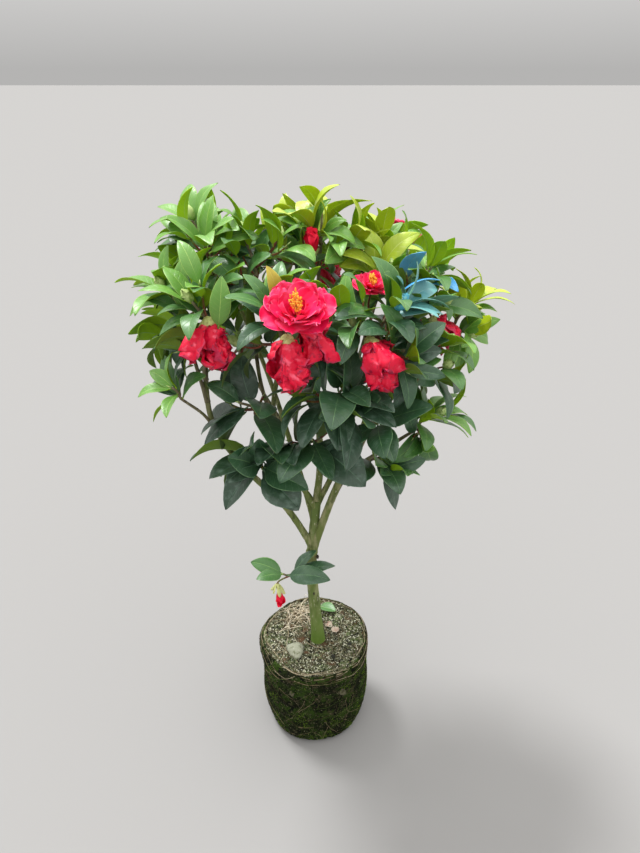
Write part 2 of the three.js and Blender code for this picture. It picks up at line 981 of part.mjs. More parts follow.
// A leaf that doesn't fit turns up along its shoot, then stays smaller, and is left out at last.
function fittedLeaf(leaf, isFree, leaves, beads) {
  for (const { leaning, size } of LEAF_TRIES) {
    const length = leaf.length * size;
    const corners = leafCorners(leaf, leaf.lean * leaning, length);
    const places = leafTestPlaces(corners);
    if (!places.every(isFree)) continue;
    const blade = {
      corners,
      places,
      shoot: leaf.shoot,
      length,
      base: leaf.base,
      middle: leaf.base.clone().lerp(corners[LEAF_TIP], 0.5),
      faces: LEAF_FACES.map((face) => new THREE.Triangle(...face.map((i) => corners[i]))),
      edges: LEAF_EDGES.map((edge) => edge.map((i) => corners[i])),
    };
    if (missesBeads(blade, beads) && leaves.every((other) => clearOfLeaf(blade, other))) return blade;
  }
  return null;
}

// Beads that fill a bloom: a ring of them at each station of its outline.
function bloomBeads(outline, foot, direction) {
  const sideways = new THREE.Vector3(1, 0.2, 0);
  const across = new THREE.Vector3().crossVectors(direction, sideways).normalize();
  return outline
    .filter((station) => station.x > 0)
    .flatMap((station) =>
      Array.from({ length: BLOOM_BEADS }, (_, i) => {
        const spoke = across.clone().applyAxisAngle(direction, (i / BLOOM_BEADS) * 2 * Math.PI);
        const place = foot.clone().addScaledVector(direction, station.y);
        return { place: place.addScaledVector(spoke, station.x / 2), radius: BEAD_SHARE * station.x };
      }),
    );
}

// A bloom: an open one is a shallow bowl, a wilted one hangs as a bag, a closed one is a bud.
function bloom({ form, place, radius, facing }, stem) {
  const outline = BLOOM_FORMS[form].map((station) => new THREE.Vector2(...station).multiplyScalar(radius));
  const lathe = new THREE.LatheGeometry(outline, BLOOM_SECTORS);
  const direction = vector(facing).normalize();
  const lathesAxis = new THREE.Vector3(0, 1, 0);
  lathe.applyQuaternion(new THREE.Quaternion().setFromUnitVectors(lathesAxis, direction));
  const foot = vector(place).addScaledVector(direction, -0.5 * outline.at(-1).y);
  lathe.translate(foot.x, foot.y, foot.z);
  lathe.deleteAttribute("normal");
  lathe.deleteAttribute("uv");
  const merged = mergeVertices(lathe, 1e-3);
  const body = new wasm.Manifold(
    new wasm.Mesh({
      numProp: 3,
      vertProperties: new Float32Array(merged.getAttribute("position").array),
      triVerts: new Uint32Array(merged.index.array),
    }),
  );
  const inside = foot.clone().addScaledVector(direction, STALK_DEPTH * radius);
  const start = stem.curve.getPointAt(0.5);
  const bend = foot.clone().addScaledVector(direction, -STALK_BEND * start.distanceTo(foot));
  const stalkCurve = new THREE.CatmullRomCurve3([start, bend, foot, inside]);
  const stalk = tube(stalkCurve, () => STALK_RADIUS, 3, TWIG_STEPS);
  const beads = [...bloomBeads(outline, foot, direction), ...beadsAlong(stalkCurve, () => STALK_RADIUS)];
  return { pieces: [body, stalk], beads };
}

const twigRadius = (share) => TWIG_RADIUS * (1.1 - 0.3 * share);
const stemRadius = (stem) => (share) => THREE.MathUtils.lerp(stem.radius, TWIG_RADIUS * 0.8, share);

// Whether a twig keeps off wood that isn't its own stem's.
function clearOfWood(curve, wood) {
  return beadsAlong(curve, twigRadius).every((bead) =>
    wood.every((other) => bead.place.distanceTo(other.place) > bead.radius + other.radius + TWIG_MARGIN),
  );
}

// All masses grow together, so that the twigs and leaves of each keep off those of the rest:
// first every stem and bloom, then the side shoots, then the placed leaves, then the whorls.
function growMasses(limbs, stems) {
  const limbBeads = Object.values(limbs).flatMap(({ curve, radiusAt }) => beadsAlong(curve, radiusAt));
  const masses = Object.entries(MASSES).map(([name, mass]) => {
    const stem = stems[name];
    const random = seeded(mass.seed);
    const phase = random() * 2 * Math.PI;
    const leader = { curve: stem.curve, heading: stem.curve.getTangentAt(1), turn: phase };
    const flowers = BLOOMS.filter((flower) => flower.mass === name).map((flower) => bloom(flower, stem));
    const pieces = [tube(stem.curve, stemRadius(stem), STEM_SIDES, STEM_STEPS)];
    pieces.push(...flowers.flatMap((flower) => flower.pieces));
    const beads = beadsAlong(stem.curve, stemRadius(stem), leader);
    beads.push(...flowers.flatMap((flower) => flower.beads));
    return { name, mass, stem, random, phase, shoots: [leader], pieces, beads };
  });
  for (const grown of masses) {
    const { mass, stem, phase, random } = grown;
    const neighbours = masses.filter((other) => other !== grown);
    const wood = [...limbBeads, ...neighbours.flatMap((other) => other.beads)];
    for (const shoot of sideShoots(mass, stem, phase, random, (curve) => clearOfWood(curve, wood))) {
      grown.shoots.push(shoot);
      grown.pieces.push(tube(shoot.curve, twigRadius, 3, TWIG_STEPS));
      grown.beads.push(...beadsAlong(shoot.curve, twigRadius, shoot));
    }
  }
  const beads = [...limbBeads, ...masses.flatMap((grown) => grown.beads)];
  const leaves = [];
  const putOut = (leaf, { stem, pieces }) => {
    const others = Object.values(stems).filter((other) => other !== stem);
    const blade = fittedLeaf(leaf, (place) => inOwnSpace(place, stem, others), leaves, beads);
    if (!blade) return;
    leaves.push(blade);
    pieces.push(solid(blade.corners, LEAF_FACES));
  };
  for (const grown of masses) {
    for (const spot of PLACED_LEAVES[grown.name] ?? []) putOut(placedLeaf(grown.shoots, spot), grown);
  }
  for (const grown of masses.filter(({ mass }) => mass.whorls !== false)) {
    for (const shoot of grown.shoots) {
      for (const leaf of leavesOf(grown.mass, shoot, grown.random)) putOut(leaf, grown);
    }
  }
  return masses.map(({ name, mass, pieces }) => {
    const fused = wasm.Manifold.union(pieces);
    const seated = mass.height === undefined ? fused : fused.subtract(limbs[mass.bough].keepOut);
    return [name, mainBody(seated)];
  });
}

// A named mesh whose own origin is where the piece starts.
function placed(name, shape, origin, material) {
  const { vertProperties, triVerts } = shape.getMesh();
  const geometry = new THREE.BufferGeometry();
  geometry.setAttribute("position", new THREE.BufferAttribute(vertProperties, 3));
  geometry.setIndex(new THREE.BufferAttribute(triVerts, 1));
  geometry.translate(-origin.x, -origin.y, -origin.z);
  const mesh = new THREE.Mesh(geometry, material);
  mesh.name = name;
  mesh.position.copy(origin);
  return mesh;
}

const soilMaterial = new THREE.MeshStandardMaterial({ color: 0x2e3320, roughness: 0.95, metalness: 0 });
const barkMaterial = new THREE.MeshStandardMaterial({ color: 0x6d7549, roughness: 0.75, metalness: 0 });
const leafMaterial = new THREE.MeshStandardMaterial({ color: 0x2f5a2c, roughness: 0.5, metalness: 0 });

const limbs = growLimbs();
const stems = Object.fromEntries(
  Object.entries(MASSES).map(([name, mass]) => [name, stemOf(mass, limbs)]),
);

const plant = new THREE.Group();
const wood = new THREE.Group();
const foliage = new THREE.Group();
plant.add(placed("root_ball", rootBall(), new THREE.Vector3(), soilMaterial), wood, foliage);
for (const [name, { shape, curve }] of Object.entries(limbs)) {
  wood.add(placed(name, shape, curve.getPointAt(0), barkMaterial));
}
for (const [name, shape] of growMasses(limbs, stems)) {
  foliage.add(placed(name, shape, stems[name].start, leafMaterial));
}

export default plant;
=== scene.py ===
"""A young camellia grown as a small tree, standing on its bare root ball.

Metres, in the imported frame: +Z up, the front along -Y, the origin under the middle of the root
ball. Boughs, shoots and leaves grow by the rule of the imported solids, carried to finer twigs,
full leaves and petals.
"""
import json
import math
from collections import namedtuple
from itertools import combinations

import bpy
import numpy as np
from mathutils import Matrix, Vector, noise
from numpy.linalg import norm

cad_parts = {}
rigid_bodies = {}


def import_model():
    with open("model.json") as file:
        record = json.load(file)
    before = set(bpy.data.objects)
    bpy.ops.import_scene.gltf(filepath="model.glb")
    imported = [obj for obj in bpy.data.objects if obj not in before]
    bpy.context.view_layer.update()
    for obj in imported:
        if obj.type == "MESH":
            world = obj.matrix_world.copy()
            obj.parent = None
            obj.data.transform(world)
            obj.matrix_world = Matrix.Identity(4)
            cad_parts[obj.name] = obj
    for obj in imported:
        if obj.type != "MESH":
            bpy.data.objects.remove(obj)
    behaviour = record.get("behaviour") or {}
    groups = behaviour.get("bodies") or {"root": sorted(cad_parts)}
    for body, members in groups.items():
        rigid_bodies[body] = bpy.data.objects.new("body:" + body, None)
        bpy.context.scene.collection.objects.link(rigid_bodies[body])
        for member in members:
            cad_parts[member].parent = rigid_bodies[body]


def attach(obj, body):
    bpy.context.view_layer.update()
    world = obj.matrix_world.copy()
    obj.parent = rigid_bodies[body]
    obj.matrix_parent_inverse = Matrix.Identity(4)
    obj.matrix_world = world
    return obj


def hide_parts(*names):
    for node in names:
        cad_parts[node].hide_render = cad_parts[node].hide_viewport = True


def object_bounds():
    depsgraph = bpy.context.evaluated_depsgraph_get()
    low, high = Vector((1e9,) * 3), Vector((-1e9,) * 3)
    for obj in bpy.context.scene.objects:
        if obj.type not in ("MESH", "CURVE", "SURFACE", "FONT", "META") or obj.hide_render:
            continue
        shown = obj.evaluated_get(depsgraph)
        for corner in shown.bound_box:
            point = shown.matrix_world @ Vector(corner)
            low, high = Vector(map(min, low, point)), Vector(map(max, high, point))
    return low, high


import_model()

CAD_BOX = [list(corner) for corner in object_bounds()]

# Driving dimensions
CLEARANCE = 0.0003
BALL_HEIGHT = 0.21
BALL_TOP_RADIUS = 0.114
BALL_FOOT_RADIUS = 0.107
BALL_EDGE = 0.012
BALL_LUMPS = 0.0016
TRUNK_RADIUS = 0.013
TRUNK_FLARE = 0.006
TRUNK_FLARE_HEIGHT = 0.016
TRUNK_TIP_SHARE = 0.62
TRUNK_FLARE_DECAY = 22
LEAF_LENGTH = 0.088
TWIG_RADIUS = 0.0024
STALK_RADIUS = 0.002
SPUR_LENGTH = 0.04
GOLDEN_ANGLE = math.radians(137.5)
FULL_TURN = 2 * math.pi
CROWN_MIDDLE = np.array([0, 0, 0.78])
UP = np.array([0, 0, 1.0])

TRUNK_AXIS = [
    (0.007, -0.01, BALL_HEIGHT + CLEARANCE),
    (0.001, -0.011, 0.3),
    (-0.004, -0.01, 0.376),
    (-0.005, -0.008, 0.44),
    (0.005, -0.005, 0.568),
]

# A bough leaves its parent's axis at a height, or carries on from its tip where the height is None.
# Its radii are at its two ends, and its last place is where its mass of foliage begins.
Bough = namedtuple("Bough", "parent height radii places")
BOUGHS = {
    "left_stem": Bough("trunk", 0.462, (0.0066, 0.0034), [
        (-0.05, -0.03, 0.571), (-0.117, -0.05, 0.672), (-0.16, -0.066, 0.772), (-0.163, -0.028, 0.925),
    ]),
    "left_high_bough": Bough("left_stem", 0.8, (0.0034, 0.0026), [
        (-0.174, -0.058, 0.845), (-0.186, -0.044, 0.888),
    ]),
    "left_front_bough": Bough("left_stem", 0.835, (0.0032, 0.0026), [
        (-0.16, -0.08, 0.87), (-0.146, -0.097, 0.9),
    ]),
    "left_low_bough": Bough("left_stem", 0.742, (0.0026, 0.0022), [
        (-0.168, -0.078, 0.785), (-0.19, -0.096, 0.818),
    ]),
    "front_stem": Bough("trunk", 0.552, (0.0056, 0.0034), [
        (-0.022, -0.016, 0.61), (-0.062, -0.058, 0.765), (-0.05, -0.092, 0.872),
    ]),
    "left_top_bough": Bough("front_stem", 0.705, (0.0036, 0.0028), [
        (-0.082, -0.038, 0.82), (-0.092, -0.018, 0.93),
    ]),
    "centre_stem": Bough("trunk", None, (0.0068, 0.0034), [
        (0.011, 0.004, 0.64), (0.006, 0.022, 0.8), (0.008, 0.04, 0.935),
    ]),
    "centre_right_stem": Bough("trunk", 0.556, (0.0056, 0.0032), [
        (0.036, 0.002, 0.63), (0.058, 0.03, 0.76), (0.08, 0.048, 0.905),
    ]),
    "right_stem": Bough("trunk", 0.447, (0.0082, 0.0034), [
        (0.031, -0.02, 0.579), (0.049, -0.03, 0.64), (0.08, -0.055, 0.75), (0.092, -0.09, 0.862),
    ]),
    "right_mid_bough": Bough("right_stem", 0.726, (0.0036, 0.0028), [
        (0.112, -0.058, 0.775), (0.148, -0.058, 0.822),
    ]),
    "right_side_stem": Bough("right_stem", 0.636, (0.0048, 0.0028), [
        (0.088, -0.033, 0.671), (0.15, -0.043, 0.726),
    ]),
    "right_back_stem": Bough("right_stem", 0.58, (0.005, 0.0028), [
        (0.072, 0.008, 0.65), (0.128, 0.024, 0.765), (0.206, 0.032, 0.852),
    ]),
    "right_high_bough": Bough("right_back_stem", 0.735, (0.0036, 0.0028), [
        (0.134, 0.006, 0.81), (0.15, 0.002, 0.892),
    ]),
    "low_right_bough": Bough("right_side_stem", 0.662, (0.0026, 0.0022), [(0.092, -0.056, 0.686)]),
    "low_left_bough": Bough("front_stem", 0.655, (0.003, 0.0024), [(-0.066, -0.064, 0.696)]),
    "low_centre_bough": Bough("centre_stem", 0.64, (0.0032, 0.0026), [(0.004, -0.048, 0.706)]),
    "front_right_bough": Bough("right_stem", 0.692, (0.0032, 0.0026), [
        (0.054, -0.072, 0.76), (0.048, -0.092, 0.812),
    ]),
    "left_inner_bough": Bough("front_stem", 0.728, (0.003, 0.0024), [(-0.08, -0.072, 0.768)]),
    "right_inner_bough": Bough("right_stem", 0.712, (0.003, 0.0024), [(0.098, -0.076, 0.755)]),
    "back_left_stem": Bough("trunk", 0.52, (0.0058, 0.003), [
        (-0.034, 0.026, 0.64), (-0.078, 0.066, 0.78), (-0.128, 0.098, 0.905),
    ]),
    "back_left_low_bough": Bough("back_left_stem", 0.69, (0.0034, 0.0026), [(-0.112, 0.092, 0.776)]),
    "back_stem": Bough("centre_stem", 0.665, (0.0046, 0.003), [
        (0.002, 0.062, 0.77), (-0.012, 0.132, 0.905),
    ]),
    "back_low_bough": Bough("back_stem", 0.745, (0.0032, 0.0026), [(0.012, 0.112, 0.8)]),
    "back_right_stem": Bough("centre_right_stem", 0.66, (0.0042, 0.0028), [
        (0.07, 0.07, 0.78), (0.106, 0.124, 0.89),
    ]),
    "back_right_low_bough": Bough("back_right_stem", 0.73, (0.003, 0.0024), [(0.122, 0.092, 0.784)]),
}

# A mass of foliage grows from the tip of its bough, or from a height of it. Its stem ends at its
# middle, and its shoots spread round that middle as far as its reach. Its tone runs from the
# deepest green to the bright young growth, and it keeps a share of its leaves where the crown is open.
Mass = namedtuple("Mass", "bough middle reach shoots seed tone leaf kept height",
                  defaults=(LEAF_LENGTH, 1, None))
MASSES = {
    "top_left": Mass("left_stem", (-0.152, 0.014, 1.003), 0.06, 5, 1100, 2.7),
    "left_high": Mass("left_high_bough", (-0.19, -0.038, 0.938), 0.044, 4, 1200, 2.6),
    "left_front": Mass("left_front_bough", (-0.142, -0.106, 0.945), 0.042, 4, 1300, 2.2),
    "left_low": Mass("left_low_bough", (-0.2, -0.104, 0.842), 0.008, 1, 1400, 2.6, leaf=0.07),
    "front": Mass("front_stem", (-0.042, -0.114, 0.925), 0.058, 5, 1500, 1.9),
    "left_top": Mass("left_top_bough", (-0.084, -0.004, 0.985), 0.058, 4, 1600, 2.4),
    "top_centre": Mass("centre_stem", (0.012, 0.055, 1.008), 0.055, 5, 1700, 3.6),
    "top_right": Mass("centre_right_stem", (0.092, 0.06, 0.968), 0.058, 5, 1800, 4.0),
    "right_front": Mass("right_stem", (0.092, -0.098, 0.925), 0.056, 5, 1900, 1.9),
    "right_mid": Mass("right_mid_bough", (0.168, -0.062, 0.872), 0.04, 4, 2000, 1.8, kept=0.85),
    "right_low": Mass("right_side_stem", (0.174, -0.052, 0.76), 0.026, 3, 2100, 2.4, kept=0.72),
    "right_far": Mass("right_back_stem", (0.236, 0.044, 0.9), 0.034, 3, 2200, 3.9, leaf=0.078),
    "right_high": Mass("right_high_bough", (0.16, 0.006, 0.958), 0.044, 4, 2300, 2.5),
    "low_right": Mass("low_right_bough", (0.102, -0.072, 0.702), 0.008, 1, 2400, 1.0, leaf=0.096, kept=0.8),
    "low_left": Mass("low_left_bough", (-0.082, -0.082, 0.716), 0.03, 4, 2500, 0.5, leaf=0.105, kept=0.55),
    "low_centre": Mass("low_centre_bough", (0, -0.084, 0.744), 0.04, 4, 2600, 0.5, leaf=0.108, kept=0.55),
    "front_right": Mass("front_right_bough", (0.036, -0.118, 0.838), 0.038, 4, 2700, 0.7,
                        leaf=0.1, kept=0.7),
    "left_inner": Mass("left_inner_bough", (-0.09, -0.092, 0.806), 0.032, 3, 3500, 0.4,
                       leaf=0.096, kept=0.5),
    "right_inner": Mass("right_inner_bough", (0.106, -0.094, 0.796), 0.034, 3, 3600, 0.6,
                        leaf=0.096, kept=0.62),
    "back_left": Mass("back_left_stem", (-0.14, 0.118, 0.955), 0.052, 5, 2800, 2.5),
    "back_left_low": Mass("back_left_low_bough", (-0.138, 0.108, 0.825), 0.04, 3, 2900, 1.0,
                          leaf=0.096, kept=0.65),
    "back": Mass("back_stem", (-0.016, 0.16, 0.968), 0.054, 5, 3000, 2.7),
    "back_low": Mass("back_low_bough", (0.01, 0.15, 0.825), 0.04, 4, 3100, 0.8, leaf=0.096, kept=0.7),
    "back_right": Mass("back_right_stem", (0.118, 0.148, 0.945), 0.05, 5, 3200, 2.4),
    "back_right_low": Mass("back_right_low_bough", (0.142, 0.106, 0.815), 0.04, 4, 3300, 1.0,
                           leaf=0.096, kept=0.7),
    "low_shoot": Mass("trunk", (-0.05, -0.056, 0.432), 0.014, 1, 2110, 1.1,
                      leaf=0.074, kept=0, height=0.405),
}
MASS_NODES = {name: f"{name}_foliage" for name in MASSES}

# Blooms that show from a step away, each on a stalk of its own from its mass's stem
Bloom = namedtuple("Bloom", "mass form place radius facing")
BLOOMS = [
    Bloom("front", "open", (-0.016, -0.186, 0.99), 0.049, (0.02, -0.48, 0.88)),
    Bloom("front", "wilted", (0.006, -0.172, 0.946), 0.024, (0.3, -0.3, -0.9)),
    Bloom("front", "wilted", (-0.028, -0.19, 0.921), 0.031, (0.1, -0.25, -0.96)),
    Bloom("left_front", "wilted", (-0.13, -0.146, 0.93), 0.03, (0.25, -0.3, -0.92)),
    Bloom("right_front", "wilted", (0.088, -0.162, 0.91), 0.03, (0.35, -0.35, -0.87)),
    Bloom("top_centre", "closed", (-0.001, 0, 1.03), 0.015, (-0.15, -0.2, 0.97)),
    Bloom("right_front", "open", (0.084, -0.068, 0.984), 0.031, (0.1, -0.3, 0.95)),
    Bloom("right_mid", "wilted", (0.196, -0.044, 0.905), 0.025, (0.6, -0.2, -0.77)),
    Bloom("low_shoot", "closed", (-0.066, -0.052, 0.372), 0.012, (0.1, -0.1, -1)),
    Bloom("back_left", "open", (-0.158, 0.186, 0.985), 0.044, (-0.5, 0.6, 0.6)),
    Bloom("back", "wilted", (0.02, 0.224, 0.93), 0.031, (0.1, 0.4, -0.9)),
    Bloom("back_right", "open", (0.15, 0.208, 0.985), 0.044, (0.4, 0.6, 0.7)),
]

# Half outlines of the solid blooms from foot to tip, as shares of the radius
BLOOM_FORMS = {
    "open": [(0, 0), (0.34, 0.05), (0.82, 0.28), (1, 0.52), (0.72, 0.5), (0, 0.4)],
    "wilted": [(0, 0), (0.3, 0.08), (0.8, 0.75), (1, 1.6), (0.72, 2.2), (0, 2.3)],
    "closed": [(0, 0), (0.6, 0.15), (0.95, 0.9), (0.6, 1.9), (0, 2.4)],
}

# Growth habit, as in the solids
LEAVES_A_SHOOT = 5
LEAF_ARCH = 0.07
YOUNG_LEAN = 0.85
OLD_LEAN = 1.5
WIDEST_LEAN = 1.75
LOWEST_RISE = 0.1
SHOOT_LIFT = 0.5
STEM_BEND = 0.4
SHOOT_BEND = 0.5
STALK_BEND = 0.4
STALK_DEPTH = 0.12
HIGHEST_SHOOT = 0.75
LOWEST_SHOOT = 0.3
LEAST_REACH = 0.9
REACH_SPREAD = 0.25
LONGEST_WHORL = 0.75
TIP_GAP = 0.08
TURN_SPREAD = 0.4
LEAN_SPREAD = 0.3
YOUNG_LEAF_SHARE = 0.82
LEAST_LEAF = 0.9
LEAF_SPREAD = 0.2
LIGHT_PULL = 0.9
TRUNK_SHOOT_SHARE = 1.4
TWIG_TRIES = (1, 0.8, 0.6)
BEAD_STEP = 0.005
BLOOM_BEADS = 6
BEAD_SHARE = 0.55
SPACE_FRINGE = 0.036
TWIG_MARGIN = 0.003
ROOT_ZONE = 0.02

# Finer growth, between the solids' leaves
LEAF_TRIES = ((1, 1), (0.75, 1), (1, 0.86), (0.6, 0.88), (0.8, 0.7))
LEAF_GAP = 0.0042
WOOD_GAP = 0.002
BETWEEN_LEAVES = (0.5, 1.5, 3.5)
LEAST_BETWEEN_LEAF = 0.8
FINE_TWIG_LENGTH = 0.034
FINE_TWIG_LEAN = 0.95
LOWEST_FINE_TWIG = 0.35
FINE_TWIG_ZONE = 0.3
FINE_TWIG_TURN = 2.4
FINE_TURN_SPREAD = 1.5
FINE_TWIG_BEND = 0.4
FINE_TWIG_RISE = 0.2
FINE_TWIG_LIFT = 0.35
# From each of these lengths on, a shoot has one fine twig more
LONG_SHOOTS = (0.06, 0.1)
FINE_LEAF_SHARE = 0.86
FINE_LEAF_STEP = 0.8
BOX_MARGIN = 0.004
SHED_BY_AGE = 0.6
BARE_TWIG_SHARE = 0.66

# A leaf's mesh: stations from its stalk to its tip, and lines from edge to edge, with a pale rim
# and rib as faces of their own; on the upper side the rim's pale colour is a painted highlight
LEAF_STATIONS = np.array([-0.02, 0.05, 0.1, 0.16, 0.25, 0.36, 0.48, 0.6, 0.71, 0.81, 0.9, 0.96, 1.0])
LEAF_LINES = np.array([-1, -0.95, -0.5, -0.026, 0.026, 0.5, 0.95, 1])
LEAF_STALK_SHARE = 0.1
LEAF_STALK_WIDTH = 0.0011
LEAF_STALK_DEPTH = 0.0018
LEAF_THICKNESS = 0.0006
LEAF_EDGE_WIDTH = 0.0003
# Leaves are broad in the shaded masses and slimmer in the sunlit ones, as shares of their length
BROAD_LEAF = 0.52
SLIM_LEAF = 0.4

# Leaves that stand out by themselves in the photograph: the place near which each leaves its
# mass's wood, the place of its tip, and its breadth as a share of its length
PLACED_LEAVES = {
    "low_left": [
        ((-0.072, -0.087, 0.727), (-0.14, -0.125, 0.638), 0.46),
        ((-0.08, -0.107, 0.706), (-0.023, -0.145, 0.659), 0.7),
    ],
    "right_front": [
        ((0.134, -0.055, 0.922), (0.205, -0.083, 0.976), 0.42),
    ],
    "right_high": [
        ((0.137, 0.009, 0.968), (0.158, -0.052, 1.03), 0.4),
        ((0.16, 0.006, 0.958), (0.21, -0.05, 0.972), 0.42),
    ],
    "low_shoot": [
        ((-0.056, -0.062, 0.441), (-0.118, -0.045, 0.455), 0.5),
        ((-0.057, -0.063, 0.442), (-0.107, -0.086, 0.441), 0.52),
        ((-0.053, -0.059, 0.436), (0.03, -0.081, 0.444), 0.42),
        ((-0.044, -0.05, 0.428), (0.04, -0.045, 0.445), 0.42),
        ((-0.041, -0.046, 0.426), (0.004, -0.023, 0.464), 0.46),
    ],
}


def unit(line):
    """The line at length one."""
    return line / norm(line, axis=-1, keepdims=True)


def mix(low, high, share):
    """The value that lies the share of the way from low to high."""
    return low + (high - low) * share


def turned(first, second, angle):
    """The direction that lies an angle away from the first towards the second."""
    return first * math.cos(angle) + second * math.sin(angle)


def square_to(line, helper):
    """Two directions square to a line and to each other."""
    first = unit(np.cross(line, helper))
    return first, np.cross(line, first)


def seeded(seed):
    """A generator of numbers from 0 to 1 that gives the same series for the same seed."""
    state = seed

    def draw():
        nonlocal state
        state = (state * 1664525 + 1013904223) % 4294967296
        return state / 4294967296

    return draw


class Path:
    """A smooth line through space, read by the share of the way along it."""

    def __init__(self, places):
        self.places = np.asarray(places, float)
        self.along = np.concatenate([[0.0], np.cumsum(norm(np.diff(self.places, axis=0), axis=1))])
        self.length = self.along[-1]

    def at(self, share):
        way = np.clip(share, 0, 1) * self.length
        return np.stack([np.interp(way, self.along, self.places[:, k]) for k in range(3)], axis=-1)

    def heading(self, share):
        return unit(self.at(min(share + 0.01, 1)) - self.at(max(share - 0.01, 0)))

    def at_height(self, height):
        return np.array([np.interp(height, self.places[:, 2], self.places[:, k]) for k in range(3)])


def through(points, steps=40):
    """A centripetal Catmull-Rom line through the points."""
    points = [np.asarray(point, float) for point in points]
    ends = [2 * points[0] - points[1], *points, 2 * points[-1] - points[-2]]
    share = np.linspace(0, 1, steps, endpoint=False)[:, None]
    places = []
    for before, start, stop, after in zip(ends, ends[1:], ends[2:], ends[3:]):
        pairs = ((before, start), (start, stop), (stop, after))
        first, second, third = (math.sqrt(norm(b - a)) for a, b in pairs)
        leave = (start - before) / first - (stop - before) / (first + second) + (stop - start) / second
        arrive = (stop - start) / second - (after - start) / (second + third) + (after - stop) / third
        leave = leave * second
        arrive = arrive * second
        square = -3 * start + 3 * stop - 2 * leave - arrive
        cube = 2 * start - 2 * stop + leave + arrive
        places.append(start + leave * share + square * share**2 + cube * share**3)
    return Path(np.concatenate([*places, points[-1][None]]))


def bend_path(start, bend, tip):
    """A line from start to tip that is drawn towards its bend."""
    share = np.linspace(0, 1, 40)[:, None]
    return Path((1 - share) ** 2 * start + 2 * share * (1 - share) * bend + share**2 * tip)


class Beads:
    """Round places that stand for wood and blooms, which leaves and twigs keep off."""

    def __init__(self):
        self.places = np.zeros((0, 3))
        self.radii = np.zeros(0)
        self.shoots = np.zeros(0, int)
        self.masses = np.zeros(0, int)

    def add(self, places, radii, shoot=-1, mass=-1):
        self.places = np.concatenate([self.places, places])
        self.radii = np.concatenate([self.radii, np.broadcast_to(radii, len(places))])
        self.shoots = np.concatenate([self.shoots, np.full(len(places), shoot)])
        self.masses = np.concatenate([self.masses, np.full(len(places), mass)])


def bead_line(path, radius_at):
    """Places a few millimetres apart along a path, with the limb's radius there."""
    steps = math.ceil(path.length / BEAD_STEP)
    shares = np.arange(steps + 1) / steps
    return path.at(shares), radius_at(shares)


def keeps_off_wood(path, radius_at, beads, other):
    """Whether a twig keeps off the beads that other picks out."""
    places, radii = bead_line(path, radius_at)
    gaps = norm(places[:, None] - beads.places[other][None], axis=2)
    return np.all(gaps > radii[:, None] + beads.radii[other][None] + TWIG_MARGIN)


def trunk_radius(share):
    taper = TRUNK_RADIUS * (1 - (1 - TRUNK_TIP_SHARE) * share)
    return taper + TRUNK_FLARE * np.exp(-share * TRUNK_FLARE_DECAY)


def twig_radius(share):
    return TWIG_RADIUS * (1.1 - 0.3 * share)


def fine_radius(share):
    return TWIG_RADIUS * (0.75 - 0.2 * share)


def stem_radius(stem):
    return lambda share: mix(stem["radius"], TWIG_RADIUS * 0.8, share)


def grow_limbs():
    """The trunk and boughs, each as its path and its radius along the way."""
    foot = np.array(TRUNK_AXIS[0])
    limbs = {"trunk": (through([foot - TRUNK_FLARE_HEIGHT * UP, *TRUNK_AXIS]), trunk_radius)}
    for name, bough in BOUGHS.items():
        parent, _ = limbs[bough.parent]
        if bough.height is None:
            start = parent.at(1) + CLEARANCE * parent.heading(1)
        else:
            start = parent.at_height(bough.height)
        wide, slim = bough.radii
        path = through([start, *bough.places])
        limbs[name] = (path, lambda share, wide=wide, slim=slim: mix(wide, slim, share))
    return limbs


def stem_of(mass, limbs):
    """The stem of a mass: it passes the mass's middle to the tip of its leading shoot."""
    parent, radius_at = limbs[mass.bough]
    middle = np.array(mass.middle)
    if mass.height is None:
        heading = parent.heading(1)
        start = parent.at(1) + CLEARANCE * heading
        radius = radius_at(1)
    else:
        start = parent.at_height(mass.height)
        heading = unit(middle - start)
        radius = TWIG_RADIUS * TRUNK_SHOOT_SHARE
    outward = unit(middle - CROWN_MIDDLE)
    outward[2] = max(outward[2], LOWEST_RISE)
    outward = unit(outward)
    tip = middle + unit(outward + SHOOT_LIFT * UP) * mass.reach
    bend = start + heading * STEM_BEND * norm(start - middle)
    path = through([start, bend, middle, tip])
    return dict(path=path, radius=radius, start=start, middle=middle, outward=outward)


def side_shoots(mass, stem, phase, draw, is_clear):
    """The side shoots spread over a cap round the outward side and turn up towards the light."""
    outward = stem["outward"]
    across = unit(np.cross(outward, UP))
    over = np.cross(across, outward)
    for i in range(1, mass.shoots):
        rank = (i + 0.5) / mass.shoots
        lean = math.acos(1 - rank * (1 - math.cos(WIDEST_LEAN)))
        turn = phase + i * GOLDEN_ANGLE
        direction = turned(outward, turned(across, over, turn), lean)
        heading = unit(direction + SHOOT_LIFT * UP)
        start = stem["path"].at(mix(HIGHEST_SHOOT, LOWEST_SHOOT, rank))
        reach = mass.reach * (LEAST_REACH + REACH_SPREAD * draw())
        for share in TWIG_TRIES:
            tip = stem["middle"] + direction * reach * share
            path = bend_path(start, tip - heading * SHOOT_BEND * norm(start - tip), tip)
            if is_clear(path):
                yield dict(path=path, heading=heading, turn=turn)
                break


